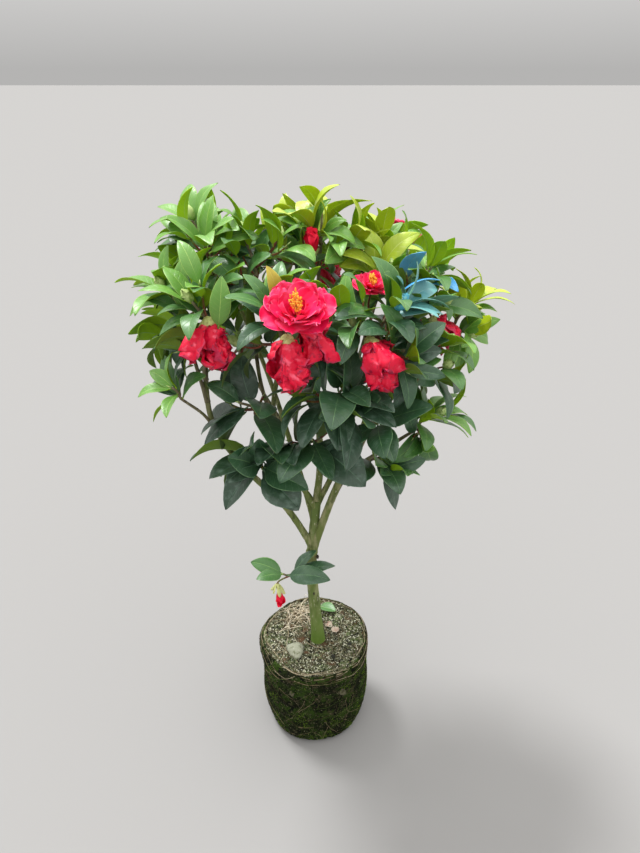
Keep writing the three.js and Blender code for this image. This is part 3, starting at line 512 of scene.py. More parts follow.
def fine_twigs(shoot, draw):
    """Short twigs that leave a shoot below its whorl and turn up."""
    count = 1 + sum(shoot["path"].length > length for length in LONG_SHOOTS)
    first, second = square_to(shoot["heading"], [1.0, 0, 0])
    for i in range(count):
        start = shoot["path"].at(LOWEST_FINE_TWIG + FINE_TWIG_ZONE * (i + draw()) / count)
        turn = shoot["turn"] + (i + 0.5) * FINE_TWIG_TURN + FINE_TURN_SPREAD * draw()
        spoke = turned(first, second, turn)
        heading = unit(turned(shoot["heading"], spoke, FINE_TWIG_LEAN))
        length = FINE_TWIG_LENGTH * (0.8 + 0.5 * draw())
        tip = start + heading * length + FINE_TWIG_RISE * length * UP
        path = bend_path(start, start + spoke * FINE_TWIG_BEND * length, tip)
        yield dict(path=path, heading=unit(heading + FINE_TWIG_LIFT * UP), turn=turn)


def whorl_leaf(shoot, k, size, draw):
    """One leaf of a shoot's whorl: the lowest, k of 0, lies out flat and the youngest stands up."""
    first, second = square_to(shoot["heading"], [1.0, 0, 0])
    age = 1 - k / (LEAVES_A_SHOOT - 1)
    whorl = min(LONGEST_WHORL, SPUR_LENGTH / shoot["path"].length)
    base = shoot["path"].at(1 - whorl * mix(TIP_GAP, 1, age))
    turn = shoot["turn"] + k * GOLDEN_ANGLE + TURN_SPREAD * (draw() - 0.5)
    lean = mix(YOUNG_LEAN, OLD_LEAN, age) + LEAN_SPREAD * (draw() - 0.5)
    length = size * mix(YOUNG_LEAF_SHARE, 1, age) * (LEAST_LEAF + LEAF_SPREAD * draw())
    return dict(base=base, spoke=turned(first, second, turn), lean=lean, length=length, age=age,
                shoot=shoot)


def placed_leaf(shoots, place, tip, breadth):
    """A leaf to a given tip from the spot of the shoots that is nearest to a place."""
    spots = [(shoot, shoot["path"].at(share)) for shoot in shoots for share in np.linspace(0, 1, 41)]
    shoot, base = min(spots, key=lambda spot: norm(spot[1] - place))
    blade = np.array(tip) - base
    length = norm(blade)
    return dict(base=base, spoke=blade / length, lean=math.pi / 2, length=length, age=0.5, shoot=shoot,
                breadth=breadth, fine=False)


def leaf_breadth(mass):
    """How broad the leaves of a mass are: the brighter its tone, the slimmer."""
    return mix(BROAD_LEAF, SLIM_LEAF, np.clip(mass.tone - 1, 0, 1))


def bloom_places(bloom):
    """A bloom's foot, its direction and its beads: a ring at each station of its outline."""
    outline = np.array(BLOOM_FORMS[bloom.form]) * bloom.radius
    direction = unit(np.array(bloom.facing, float))
    foot = np.array(bloom.place) - direction * 0.5 * outline[-1, 1]
    across, over = square_to(direction, [1, 0.2, 0])
    places, radii = [], []
    for aside, along in outline[outline[:, 0] > 0]:
        for turn in np.arange(BLOOM_BEADS) / BLOOM_BEADS * FULL_TURN:
            places.append(foot + direction * along + turned(across, over, turn) * aside / 2)
            radii.append(BEAD_SHARE * aside)
    return foot, direction, np.array(places), np.array(radii)


def stalk_of(bloom, stem):
    """The stalk from a mass's stem to the foot of its bloom."""
    foot, direction, _, _ = bloom_places(bloom)
    start = stem["path"].at(0.5)
    bend = foot - direction * STALK_BEND * norm(start - foot)
    return through([start, bend, foot, foot + direction * STALK_DEPTH * bloom.radius])


def half_width(share):
    """A blade's half width along its length, as a share of its widest: rounded, with a short point."""
    return 2.645 * np.maximum(share, 0) ** 0.62 * np.maximum(1 - share, 0) ** 0.8


def leaf_probes(leaf):
    """Places spread over a leaf that its clearances are tested at; the last is its tip."""
    shares = np.array([0.2, 0.34, 0.48, 0.62, 0.76, 0.9, 1.0])
    half = leaf["size"] * leaf["breadth"] / 2 * half_width(shares)
    middle = leaf["base"] + shares[:, None] * leaf["along"] * leaf["size"]
    middle = middle + (4 * LEAF_ARCH * leaf["size"] * shares * (1 - shares))[:, None] * leaf["face"]
    aside = np.array([-0.85, 0.85, 0])[:, None, None] * half[None, :, None] * leaf["left"]
    return (middle[None] + aside).reshape(-1, 3)


class Foliage:
    """All accepted leaves, with the places that later leaves keep off."""

    def __init__(self, stems, beads):
        self.starts = np.array([stem["start"] for stem in stems])
        self.lines = np.array([stem["middle"] - stem["start"] for stem in stems])
        self.beads = beads
        self.shedding = np.random.default_rng(11)
        self.leaves = []
        self.middles = np.zeros((0, 3))
        self.lengths = np.zeros(0)
        self.probes = np.zeros((0, 21, 3))
        self.shoots = np.zeros(0, int)

    def in_own_space(self, places, mass):
        offsets = places[:, None] - self.starts[None]
        share = np.clip(np.sum(offsets * self.lines, axis=2) / np.sum(self.lines**2, axis=1), 0, 1)
        away = norm(offsets - share[..., None] * self.lines[None], axis=2)
        return np.all(away[:, mass][:, None] - away < SPACE_FRINGE)

    def off_wood(self, leaf, probes, middle):
        beads = self.beads
        near = norm(beads.places - middle, axis=1) < leaf["size"] / 2 + beads.radii + ROOT_ZONE
        at_base = norm(beads.places - leaf["base"], axis=1) < ROOT_ZONE
        near &= ~((beads.shoots == leaf["shoot"]["number"]) & at_base)
        gaps = norm(probes[:, None] - beads.places[near][None], axis=2)
        return not np.any(gaps < beads.radii[near][None] + WOOD_GAP)

    def off_leaves(self, leaf, probes, middle):
        close = norm(self.middles - middle, axis=1) < (self.lengths + leaf["size"]) / 2
        for other in np.flatnonzero(close):
            gaps = norm(probes[:, None] - self.probes[other][None], axis=2)
            if self.shoots[other] == leaf["shoot"]["number"]:
                gaps = gaps[norm(probes - leaf["base"], axis=1) > ROOT_ZONE]
            if np.any(gaps < LEAF_GAP):
                return False
        return True

    def fits(self, leaf, probes):
        low, high = np.array(CAD_BOX)
        if np.any(probes < low - BOX_MARGIN) or np.any(probes > high + BOX_MARGIN):
            return False
        middle = (leaf["base"] + probes[-1]) / 2
        return (self.in_own_space(probes, leaf["mass"]) and self.off_wood(leaf, probes, middle)
                and self.off_leaves(leaf, probes, middle))

    def try_leaf(self, leaf):
        """Keeps a leaf at the first of its leans and sizes that fits, if any does."""
        heading = leaf["shoot"]["heading"]
        light = heading + LIGHT_PULL * UP
        for leaning, share in LEAF_TRIES:
            leaf["size"] = leaf["length"] * share
            leaf["along"] = unit(turned(heading, leaf["spoke"], leaf["lean"] * leaning))
            leaf["face"] = unit(light - leaf["along"] * np.dot(light, leaf["along"]))
            leaf["left"] = np.cross(leaf["face"], leaf["along"])
            probes = leaf_probes(leaf)
            if self.fits(leaf, probes):
                self.keep(leaf, probes)
                return

    def keep(self, leaf, probes):
        self.leaves.append(leaf)
        self.middles = np.concatenate([self.middles, (leaf["base"] + probes[-1])[None] / 2])
        self.lengths = np.append(self.lengths, leaf["size"])
        self.probes = np.concatenate([self.probes, probes[None]])
        self.shoots = np.append(self.shoots, leaf["shoot"]["number"])

    def put_out(self, leaf, mass, fine=False):
        """Tries a leaf, unless its mass has shed it; the oldest are shed first."""
        stays = self.shedding.uniform() < mass.kept * (1 + SHED_BY_AGE * (0.5 - leaf["age"]))
        if stays or mass.kept == 1:
            self.try_leaf(leaf | dict(mass=leaf["shoot"]["mass"], fine=fine, breadth=leaf_breadth(mass)))


def grow_shoots(stems, beads):
    """The leading and side shoots, the stalks of the blooms, and each mass's series of draws."""
    draws, phases, shoots, stalks = [], [], [], []
    for number, (name, mass) in enumerate(MASSES.items()):
        stem = stems[number]
        draw = seeded(mass.seed)
        phase = draw() * FULL_TURN
        shoots.append(dict(path=stem["path"], heading=stem["path"].heading(1), turn=phase, mass=number,
                           number=number, kind="leader", radius_at=stem_radius(stem)))
        draws.append(draw)
        phases.append(phase)
        beads.add(*bead_line(stem["path"], stem_radius(stem)), shoot=number, mass=number)
        for bloom in [bloom for bloom in BLOOMS if bloom.mass == name]:
            _, _, places, radii = bloom_places(bloom)
            stalk = stalk_of(bloom, stem)
            stalks.append(stalk)
            beads.add(places, radii, mass=number)
            beads.add(*bead_line(stalk, lambda share: np.full(len(share), STALK_RADIUS)), mass=number)
    for number, mass in enumerate(MASSES.values()):
        other = beads.masses != number

        def is_clear(path):
            return keeps_off_wood(path, twig_radius, beads, other)

        for shoot in list(side_shoots(mass, stems[number], phases[number], draws[number], is_clear)):
            shoot.update(mass=number, number=len(shoots), kind="side", radius_at=twig_radius)
            shoots.append(shoot)
            beads.add(*bead_line(shoot["path"], twig_radius), shoot=shoot["number"], mass=number)
    return shoots, stalks, draws


def grow_between(number, mass, shoots, foliage):
    """The finer growth of a mass: leaves between those of its whorls, and fine leafy twigs."""
    draw = seeded(mass.seed + 7)
    beads = foliage.beads
    own = [shoot for shoot in shoots if shoot["mass"] == number]
    for shoot in own:
        for k in BETWEEN_LEAVES:
            size = mass.leaf * mix(LEAST_BETWEEN_LEAF, 1, draw())
            foliage.put_out(whorl_leaf(shoot, k, size, draw), mass)
    if mass.kept < BARE_TWIG_SHARE:
        return
    for shoot in own:
        for twig in fine_twigs(shoot, draw):
            other = (beads.shoots != shoot["number"]) | (beads.masses < 0)
            if not keeps_off_wood(twig["path"], fine_radius, beads, other):
                continue
            twig.update(mass=number, number=len(shoots), kind="fine", radius_at=fine_radius)
            shoots.append(twig)
            beads.add(*bead_line(twig["path"], fine_radius), shoot=twig["number"], mass=number)
            for k in range(LEAVES_A_SHOOT + 1):
                leaf = whorl_leaf(twig, k * FINE_LEAF_STEP, mass.leaf * FINE_LEAF_SHARE, draw)
                foliage.put_out(leaf, mass, fine=True)


def grow():
    """Grows the whole plant: limbs, stems, shoots, finer twigs, stalks and leaves."""
    limbs = grow_limbs()
    stems = [stem_of(mass, limbs) for mass in MASSES.values()]
    beads = Beads()
    for path, radius_at in limbs.values():
        beads.add(*bead_line(path, radius_at))
    shoots, stalks, draws = grow_shoots(stems, beads)
    foliage = Foliage(stems, beads)
    for number, name in enumerate(MASSES):
        own = [shoot for shoot in shoots if shoot["mass"] == number]
        for place, tip, breadth in PLACED_LEAVES.get(name, ()):
            foliage.try_leaf(placed_leaf(own, place, tip, breadth) | dict(mass=number))
    for number, mass in enumerate(MASSES.values()):
        for shoot in [shoot for shoot in shoots if shoot["mass"] == number]:
            for k in range(LEAVES_A_SHOOT):
                foliage.put_out(whorl_leaf(shoot, k, mass.leaf, draws[number]), mass)
    for number, mass in enumerate(MASSES.values()):
        grow_between(number, mass, shoots, foliage)
    return dict(limbs=limbs, shoots=shoots, stalks=stalks, leaves=foliage.leaves)


def put_in_scene(name, data):
    """A new object of the scene that shows a mesh, a light or a camera."""
    thing = bpy.data.objects.new(name, data)
    bpy.context.collection.objects.link(thing)
    return thing


class Shape:
    """Corner points and faces that are gathered up and made into one mesh."""

    def __init__(self):
        self.points = []
        self.marks = []
        self.faces = {3: [], 4: []}
        self.paints = {3: [], 4: []}
        self.count = 0

    def add(self, points, *groups, marks=None):
        """Adds points and groups of faces between them, each with its paint numbers."""
        points = np.asarray(points, float).reshape(-1, 3)
        for faces, paint in groups:
            sides = faces.shape[1]
            self.faces[sides].append(faces + self.count)
            self.paints[sides].append(np.broadcast_to(paint, len(faces)))
        self.points.append(points)
        self.count += len(points)
        if marks is not None:
            self.marks.append(marks)

    def piece(self, name, materials, slot, nodes=(), smooth=True):
        """The mesh as a piece that rides on the plant's body and stands for its nodes; its faces
        take the materials by the numbers given with them."""
        mesh = bpy.data.meshes.new(name)
        loops, starts, paints = [], [], []
        corner = 0
        for sides in [sides for sides in (3, 4) if self.faces[sides]]:
            faces = np.concatenate(self.faces[sides])
            loops.append(faces.ravel())
            starts.append(corner + sides * np.arange(len(faces)))
            paints += self.paints[sides]
            corner += faces.size
        loops, starts, paints = (np.concatenate(part) for part in (loops, starts, paints))
        mesh.vertices.add(self.count)
        mesh.vertices.foreach_set("co", np.concatenate(self.points).astype(np.float32).ravel())
        mesh.loops.add(len(loops))
        mesh.loops.foreach_set("vertex_index", loops.astype(np.int32))
        mesh.polygons.add(len(starts))
        mesh.polygons.foreach_set("loop_start", starts.astype(np.int32))
        mesh.polygons.foreach_set("material_index", paints.astype(np.int32))
        mesh.polygons.foreach_set("use_smooth", np.full(len(starts), smooth))
        mesh.update(calc_edges=True)
        if self.marks:
            layer = mesh.uv_layers.new(name="blade")
            layer.data.foreach_set("uv", np.concatenate(self.marks)[loops].astype(np.float32).ravel())
        mesh.validate()
        for material in materials:
            mesh.materials.append(material)
        piece = put_in_scene(name, mesh)
        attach(piece, "root")
        if nodes:
            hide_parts(*nodes)


def grid_faces(rows, columns, closed=False):
    """Quads of a grid of rows and columns; a closed one joins its last column to its first."""
    across = np.arange(columns if closed else columns - 1)
    here = (np.arange(rows - 1)[:, None] * columns + across[None]).ravel()
    beside = (np.arange(rows - 1)[:, None] * columns + (across[None] + 1) % columns).ravel()
    return np.stack([here, beside, beside + columns, here + columns], axis=1)


def end_fans(rows, columns):
    """Triangles that close the two ends of a closed grid, from the two points that follow it."""
    around = np.arange(columns)
    beside = (around + 1) % columns
    last = (rows - 1) * columns
    middle = np.full(columns, rows * columns)
    return (np.stack([beside, around, middle], axis=1),
            np.stack([last + around, last + beside, middle + 1], axis=1))


def tube(shape, path, radius_at, sides, step, relief=None, paint=0):
    """Adds a round limb along a path, with relief(places, radius) added to its radius."""
    rings = max(3, round(path.length / step) + 1)
    shares = np.linspace(0, 1, rings)
    centres = path.at(shares)
    tangents = unit(np.gradient(centres, axis=0))
    normal = np.cross(tangents[0], [0.3, 1.0, 0.1])
    turns = np.arange(sides) / sides * FULL_TURN
    points = []
    for centre, tangent, radius in zip(centres, tangents, radius_at(shares)):
        normal = unit(normal - tangent * np.dot(normal, tangent))
        other = np.cross(tangent, normal)
        outward = np.cos(turns)[:, None] * normal + np.sin(turns)[:, None] * other
        reach = np.full(sides, radius)
        if relief is not None:
            reach = reach + relief(centre + outward * radius, radius)
        points.append(centre + outward * reach[:, None])
    foot, tip = end_fans(rings, sides)
    points = np.concatenate([*points, [centres[0], centres[-1]]])
    shape.add(points, (grid_faces(rings, sides, closed=True), paint), (foot, paint), (tip, paint))


def noise_at(places, scale, octaves=1):
    """Smooth noise from about -1 to 1 at each place, with details of the given scale."""
    if octaves == 1:
        return np.array([noise.noise(Vector(place)) for place in places / scale])
    return np.array([noise.fractal(Vector(place), 0.8, 2.1, octaves) for place in places / scale])


def sway_at(places, scale, offsets):
    """Smooth noise as a direction at each place, one part from each offset."""
    return np.stack([noise_at(places + offset, scale) for offset in offsets], axis=1)


# How much leaves differ, from the least to the most, in the order that it is drawn in
LEAF_VARIETY = dict(
    width=(0.88, 1.12), arch=(-0.03, 0.07), sabre=(-0.03, 0.03), twist=(-0.3, 0.3), wring=(-0.4, 0.4),
    fold=(0.3, 0.62), droop=(0.16, 0.5), wave=(0.004, 0.016), waves=(1.2, 2.4), phase=(0, 1),
)
RIB_SINK = 0.0002
RIB_KEEL = 0.0006


def leaf_rows(leaves, key):
    """One measure or direction of each leaf, shaped to be spread over its mesh."""
    values = np.array([leaf[key] for leaf in leaves])
    return values[:, None] if values.ndim == 2 else values[:, None, None]


def shape_blades(shape, leaves, rng):
    """Adds leaves as closed thin blades: folded along the rib, arched, with drooping rims."""
    base, along, left, face = (leaf_rows(leaves, key) for key in ("base", "along", "left", "face"))
    size, age, breadth = (leaf_rows(leaves, key) for key in ("size", "age", "breadth"))
    slim = (BROAD_LEAF - breadth) / (BROAD_LEAF - SLIM_LEAF)
    count = len(leaves)
    vary = {name: rng.uniform(*ends, (count, 1, 1)) for name, ends in LEAF_VARIETY.items()}
    share = LEAF_STATIONS[None, :, None]
    blade = np.clip((share - LEAF_STALK_SHARE) / (1 - LEAF_STALK_SHARE), 0, 1)
    least = np.where(blade > 0.5, LEAF_EDGE_WIDTH, LEAF_STALK_WIDTH)
    half = np.maximum(least, size * breadth / 2 * half_width(blade) * vary["width"])
    late = np.maximum(share, 0) ** 1.3
    arch = 4 * (LEAF_ARCH + vary["arch"] + 0.02 * age + 0.05 * slim) * size * late * (1 - late)
    sabre = vary["sabre"] * size * np.sin(math.pi * share)
    middle = base + along * share * size + face * arch + left * sabre
    twist = vary["twist"] + vary["wring"] * share
    left = left * np.cos(twist) + face * np.sin(twist)
    face = np.cross(np.broadcast_to(along, left.shape), left)
    line = LEAF_LINES[None, None]
    is_rib = np.abs(line) < 0.1
    fold = vary["fold"] * np.abs(line) - vary["droop"] * line**2
    side = np.where(line > 0, 0.3, 0)
    wave = vary["wave"] * size * np.sin(FULL_TURN * (vary["waves"] * share + vary["phase"] + side))
    lift = half * fold * np.minimum(1, 6 * blade) + wave * line**2 * blade - RIB_SINK * is_rib
    upper = middle[:, :, None] + left[:, :, None] * (half * line)[..., None]
    upper = upper + face[:, :, None] * lift[..., None]
    depth = mix(LEAF_STALK_DEPTH, LEAF_THICKNESS, np.minimum(1, 8 * blade))
    depth = depth + RIB_KEEL * is_rib * (1 - blade)
    lower = (upper - face[:, :, None] * depth[..., None])[:, 1:-1, 1:-1]
    points = np.concatenate([upper.reshape(count, -1, 3), lower.reshape(count, -1, 3)], axis=1)
    faces, paints, marks = blade_faces()
    copies = (faces[None] + points.shape[1] * np.arange(count)[:, None, None]).reshape(-1, 4)
    shape.add(points, (copies, np.tile(paints, count)), marks=np.tile(marks, (count, 1)))


def blade_faces():
    """The faces of a blade's two sides, which share its edge, their paints and each point's mark."""
    rows, columns = len(LEAF_STATIONS), len(LEAF_LINES)
    under = np.arange(rows * columns).reshape(rows, columns)
    inner = np.arange((rows - 2) * (columns - 2)).reshape(rows - 2, columns - 2)
    under[1:-1, 1:-1] = rows * columns + inner
    grid = grid_faces(rows, columns)
    faces = np.concatenate([grid[:, ::-1], under.ravel()[grid]])
    strip = np.tile(np.arange(columns - 1), rows - 1)
    row = np.repeat(np.arange(rows - 1), columns - 1)
    inside = (strip > 0) & (strip < columns - 2)
    # The rib and stalk are pale on both sides; the rim is pale on the upper side only, a painted highlight
    # along the edge
    pale = ~inside | (strip == columns // 2 - 1) | (LEAF_STATIONS[row] < LEAF_STALK_SHARE - 0.001)
    paints = np.concatenate([np.where(pale, 2, 0), np.where(pale & inside, 2, 1)])
    marks = np.stack(np.meshgrid((LEAF_LINES + 1) / 2, LEAF_STATIONS), axis=-1)
    return faces, paints, np.concatenate([marks.reshape(-1, 2), marks[1:-1, 1:-1].reshape(-1, 2)])


PETAL_STATIONS = np.array([0, 0.1, 0.2, 0.31, 0.42, 0.53, 0.64, 0.74, 0.83, 0.91, 0.965, 1.0])
PETAL_LINES = np.array([-1, -0.93, -0.72, -0.48, -0.24, 0, 0.24, 0.48, 0.72, 0.93, 1])
PETAL_WIDEST = 0.62
# How much petals differ, from the least to the most
PETAL_VARIETY = dict(
    width=(0.9, 1.12), swells=(0.9, 1.5), swell_start=(0, 1), flutters=(2.2, 3.4), flutter_start=(0, 1),
    curl=(0.6, 1.3), dent=(-0.25, 0.25), scallops=(4, 6), scallop_start=(0, 3),
)
FOLD_SIZE = 0.015
CREASE_SIZE = 0.006
CREASE_SHARE = 0.55


def petal_half_width(share):
    """A petal's half width along its length: narrow at its foot, widest past the middle, blunt."""
    foot = 0.22 + 0.78 * np.minimum(share / PETAL_WIDEST, 1) ** 0.8
    tip = np.sqrt(np.maximum(1 - (np.maximum(share - PETAL_WIDEST, 0) / 0.4) ** 2, 0.04))
    return foot * tip


def petals(shape, foot, axis, rng, count, length, width, opening, cup=0.2, ruffle=0.05, notch=0.06,
           crumple=0.0, turn=0.0, start=0.05, spread=5.0, paint=0, rim=None):
    """Adds a ring of petals round an axis; opening gives their lean from it at foot and tip."""
    share, line = PETAL_STATIONS[:, None], PETAL_LINES[None]
    rows, columns = len(PETAL_STATIONS), len(PETAL_LINES)
    gaps = np.diff(PETAL_STATIONS)
    across, over = square_to(axis, [1, 0.2, 0.1])
    is_edge = np.zeros((rows - 1, columns - 1), bool)
    is_edge[4:, [0, -1]] = True
    is_edge[-1] = True
    paints = np.where(is_edge.ravel(), paint if rim is None else rim, paint)

    def vary(name):
        return rng.uniform(*PETAL_VARIETY[name])

    for i in range(count):
        azimuth = turn + i * FULL_TURN / count + rng.normal(0, 0.018 * spread)
        spoke = turned(across, over, azimuth)
        side = np.cross(axis, spoke)
        grown = length * rng.uniform(1 - 0.016 * spread, 1 + 0.012 * spread)
        wide = width * vary("width")
        lean = np.radians(mix(opening[0], opening[1], PETAL_STATIONS**0.9) + rng.normal(0, spread))
        radial = np.concatenate([[0], np.cumsum(np.sin(lean[1:]) * gaps)]) * grown + start * length
        rise = np.concatenate([[0], np.cumsum(np.cos(lean[1:]) * gaps)]) * grown
        inner = np.sin(lean)[:, None] * axis - np.cos(lean)[:, None] * spoke
        forward = np.cos(lean)[:, None] * axis + np.sin(lean)[:, None] * spoke
        centre = foot + radial[:, None] * spoke + rise[:, None] * axis
        swell = vary("swells") * line + vary("swell_start") + 0.3 * share
        flutter = vary("flutters") * line + vary("flutter_start")
        waves = np.sin(FULL_TURN * swell) + 0.5 * share**3 * np.sin(FULL_TURN * flutter)
        curl = cup * vary("curl")
        lift = wide * (curl * line**2 * (0.3 + share) + ruffle * waves * share**2)
        dent = np.exp(-(((line - vary("dent")) / 0.2) ** 2))
        scallops = 0.3 * np.abs(np.sin(vary("scallops") * line + vary("scallop_start")))
        back = notch * grown * (dent + scallops) * np.clip((share - 0.7) / 0.3, 0, 1) ** 1.5
        half = wide / 2 * petal_half_width(share)
        points = centre[:, None] + (half * line)[..., None] * side
        points = points + lift[..., None] * inner[:, None] - back[..., None] * forward[:, None]
        if crumple:
            flat = points.reshape(-1, 3)
            creases = CREASE_SHARE * sway_at(flat, CREASE_SIZE, (1.3, 5.1, 9.7))
            sway = (sway_at(flat, FOLD_SIZE, (0.0, 3.1, 7.7)) + creases).reshape(points.shape)
            points = points + crumple * sway * np.minimum(1, 2 * share)[..., None]
        shape.add(points, (grid_faces(rows, columns), paints))


def frames_along(axes, turns):
    """For each axis, three square directions of which the last is the axis."""
    helper = np.where(np.abs(axes[:, 2:]) < 0.9, [[0, 0, 1.0]], [[1.0, 0, 0]])
    first, second = square_to(axes, helper)
    cosine, sine = np.cos(turns)[:, None], np.sin(turns)[:, None]
    return np.stack([first * cosine + second * sine, second * cosine - first * sine, axes], axis=1)


def scatter(shape, form, places, axes, turns, sizes, paints=0):
    """Adds a copy of a small form at every place, standing along its axis."""
    template, faces = form
    points = np.einsum("nkc,ncd->nkd", template[None] * sizes[:, None], frames_along(axes, turns))
    copies = faces[None] + len(template) * np.arange(len(places))[:, None, None]
    paints = np.repeat(np.broadcast_to(paints, len(places)), len(faces))
    shape.add(places[:, None] + points, (copies.reshape(-1, faces.shape[1]), paints))


def place_one(shape, form, place, axis, size, paint=0):
    """Adds one copy of a small form."""
    scatter(shape, form, np.array([place]), np.array([axis]), np.zeros(1), np.array([size]), paint)


def spike_form():
    """A three-sided spike, one unit high."""
    turns = np.arange(3) * FULL_TURN / 3
    points = np.array([(math.cos(turn), math.sin(turn), 0) for turn in turns] + [(0, 0, 1.0)])
    return points, np.array([(0, 1, 3), (1, 2, 3), (2, 0, 3), (2, 1, 0)])


def nugget_form():
    """An icosahedron of radius one."""
    golden = (1 + math.sqrt(5)) / 2
    points = []
    for a in (-1, 1):
        for b in (-golden, golden):
            points += [(0, a, b), (a, b, 0), (b, 0, a)]
    points = unit(np.array(points, float))
    near = norm(points[:, None] - points[None], axis=2) < 1.2
    faces = []
    for i, j, k in combinations(range(12), 3):
        if near[i, j] and near[j, k] and near[i, k]:
            outward = np.dot(np.cross(points[j] - points[i], points[k] - points[i]), points[i]) > 0
            faces.append((i, j, k) if outward else (i, k, j))
    return points, np.array(faces)


SPIKE = spike_form()
NUGGET = nugget_form()

# Rings of petals from the outermost in: how many, their length and width in radii, their lean at
# foot and tip in degrees, their cup and ruffle, and the ring's turn or, in a spent bloom, its folds
OPEN_RINGS = [
    (7, 0.99, 0.9, (48, 84), 0.1, 0.035, 0.0),
    (6, 0.9, 0.84, (38, 70), 0.13, 0.045, 0.45),
    (5, 0.78, 0.68, (28, 60), 0.18, 0.07, 0.2),
    (3, 0.54, 0.44, (12, 46), 0.3, 0.14, 0.8),
]
SPENT_RINGS = [
    (4, 2.0, 1.3, (50, -12), 0.3, 0.18, 0.26),
    (5, 2.3, 0.95, (34, -10), 0.45, 0.28, 0.28),
    (4, 1.85, 0.85, (22, 2), 0.4, 0.3, 0.28),
    (3, 1.2, 0.8, (60, 26), 0.3, 0.3, 0.24),
]
BUD_RINGS = [((64, -52), 1.2), ((72, -40), 0.95), ((80, -10), 0.6)]
STAMENS = 90
STAMEN_LEAN = 0.36
STAMEN_THICKNESS = 0.0011
ANTHER_SIZE = (0.001, 0.001, 0.002)
BRACT_LENGTH = 0.026


def open_bloom(blooms, centres, foot, axis, radius, rng):
    """A semi-double bloom: a bowl of notched petals round a sheaf of stamens."""
    for count, length, width, opening, cup, ruffle, turn in OPEN_RINGS:
        petals(blooms, foot, axis, rng, count, length * radius, width * radius, opening, cup=cup,
               ruffle=ruffle, turn=turn, rim=3)
    across, over = square_to(axis, [1, 0.2, 0.1])
    azimuth = rng.uniform(0, FULL_TURN, STAMENS)[:, None]
    lean = STAMEN_LEAN * np.sqrt(rng.uniform(0, 1, STAMENS))[:, None]
    sheaf = unit(axis - 0.12 * across + 0.1 * over)
    axes = unit(sheaf + lean * (across * np.cos(azimuth) + 0.5 * over * np.sin(azimuth)))
    lengths = radius * rng.uniform(0.56, 0.8, STAMENS)
    starts = foot + 0.04 * radius * axis + 0.2 * radius * (axes - sheaf)
    thick = np.full(STAMENS, STAMEN_THICKNESS)
    scatter(centres, SPIKE, starts, axes, azimuth[:, 0], np.stack([thick, thick, lengths * 1.1], axis=1))
    anthers = np.tile(ANTHER_SIZE, (STAMENS, 1))
    scatter(centres, NUGGET, starts + axes * lengths[:, None], axes, azimuth[:, 0], anthers, 1)


def spent_bloom(blooms, foot, axis, radius, rng):
    """A spent bloom: its petals hang loose, each its own way, in crumpled folds."""
    turn = rng.uniform(0, FULL_TURN)
    for number, (count, length, width, opening, cup, ruffle, fold) in enumerate(SPENT_RINGS):
        petals(blooms, foot, axis, rng, count, length * radius, width * radius, opening, cup=cup,
               ruffle=ruffle, notch=0.13, crumple=fold * radius, turn=turn + 0.6 * number, spread=14,
               paint=1, rim=4)


def closed_bloom(blooms, foot, axis, radius, rng):
    """A bloom that is still furled to a point."""
    petals(blooms, foot, axis, rng, 5, 2.7 * radius, 1.5 * radius, (44, -30), cup=0.35, ruffle=0.04,
           notch=0, paint=2)
    petals(blooms, foot, axis, rng, 4, 2.8 * radius, 1.0 * radius, (22, -14), cup=0.4, ruffle=0.06,
           notch=0, turn=0.5, paint=2)


def bracts(buds, foot, axis, length, rng):
    """Narrow pale scales that flare above a hanging bloom."""
    petals(buds, foot - 0.8 * length * axis, axis, rng, 6, length, 0.3 * length, (34, 14), cup=0.4,
           ruffle=0.1, notch=0, start=0.03, spread=9, paint=2)


def calyx(buds, foot, axis, reach, rng):
    """Pale scales that hold a bloom at its foot."""
    petals(buds, foot - 0.003 * axis, axis, rng, 5, reach, 0.9 * reach, (80, 20), cup=0.35, ruffle=0.02,
           notch=0, start=0.02, paint=2)
    petals(buds, foot - 0.005 * axis, axis, rng, 4, 0.7 * reach, 0.8 * reach, (84, 30), cup=0.35,
           ruffle=0.02, notch=0, turn=0.6, start=0.02, paint=2)


def flower_bud(buds, foot, axis, length, rng, paint=0):
    """A plump green bud of overlapping scales."""
    core = [0.34 * length, 0.34 * length, 0.46 * length]
    place_one(buds, NUGGET, foot + 0.46 * length * axis, axis, core, paint)
    for ring, (opening, share) in enumerate(BUD_RINGS):
        petals(buds, foot, axis, rng, 4, share * length, 0.62 * length, opening, cup=0.42, ruffle=0,
               notch=0, turn=0.8 * ring, start=0.02, paint=paint)


# Colours: each tone of leaf has an upper side, an underside and ribs, whose colour also lines the
# upper rims as a painted highlight. The undersides are paler, as real leaves are, and lightened
# further as painted light shining through them; the upper sides' greens lean a little blue, a
# painted sheen of the sky. The first five run from the deepest green of the shaded masses to the
# bright young growth.
LEAF_TONES = {
    "deep": ("#2a4632", "#5a703a", "#587860"),
    "dark": ("#325638", "#6e8c30", "#688e60"),
    "middle": ("#447236", "#8cb41e", "#80a85c"),
    "fresh": ("#64963a", "#9cc41e", "#a4c666"),
    "bright": ("#aabe30", "#b8cc24", "#ccda7c"),
    "painted": ("#2f9ade", "#74c2f2", "#a4d0e4"),
    "misted": ("#66a4a4", "#74a486", "#98c2b8"),
    "yellowing": ("#b4a22c", "#c08e20", "#ccb85c"),
}
GROWING_TONES = list(LEAF_TONES)[:5]
# Dust and painted sheen on the darker tones: a pale bluish grey in patches, partly dust on the older leaves
# and partly a painted reflection of the sky; the noise level it starts from in each tone
DUST_AND_SHEEN = "#8ca698"
DUST_AND_SHEEN_FROM = {"deep": 0.44, "dark": 0.5, "middle": 0.6}
VEIN_TINT = 0.14
VEIN_DEPTH = 0.00022
VEINS_A_LEAF = 9
VEIN_SLANT = 2.4
ROOT_COLOUR_ENDS = (0.05, 0.42)


def linear(colour):
    """A screen colour as light values."""
    parts = [int(colour[i : i + 2], 16) / 255 for i in (1, 3, 5)]
    return [part / 12.92 if part < 0.04045 else ((part + 0.055) / 1.055) ** 2.4 for part in parts] + [1.0]


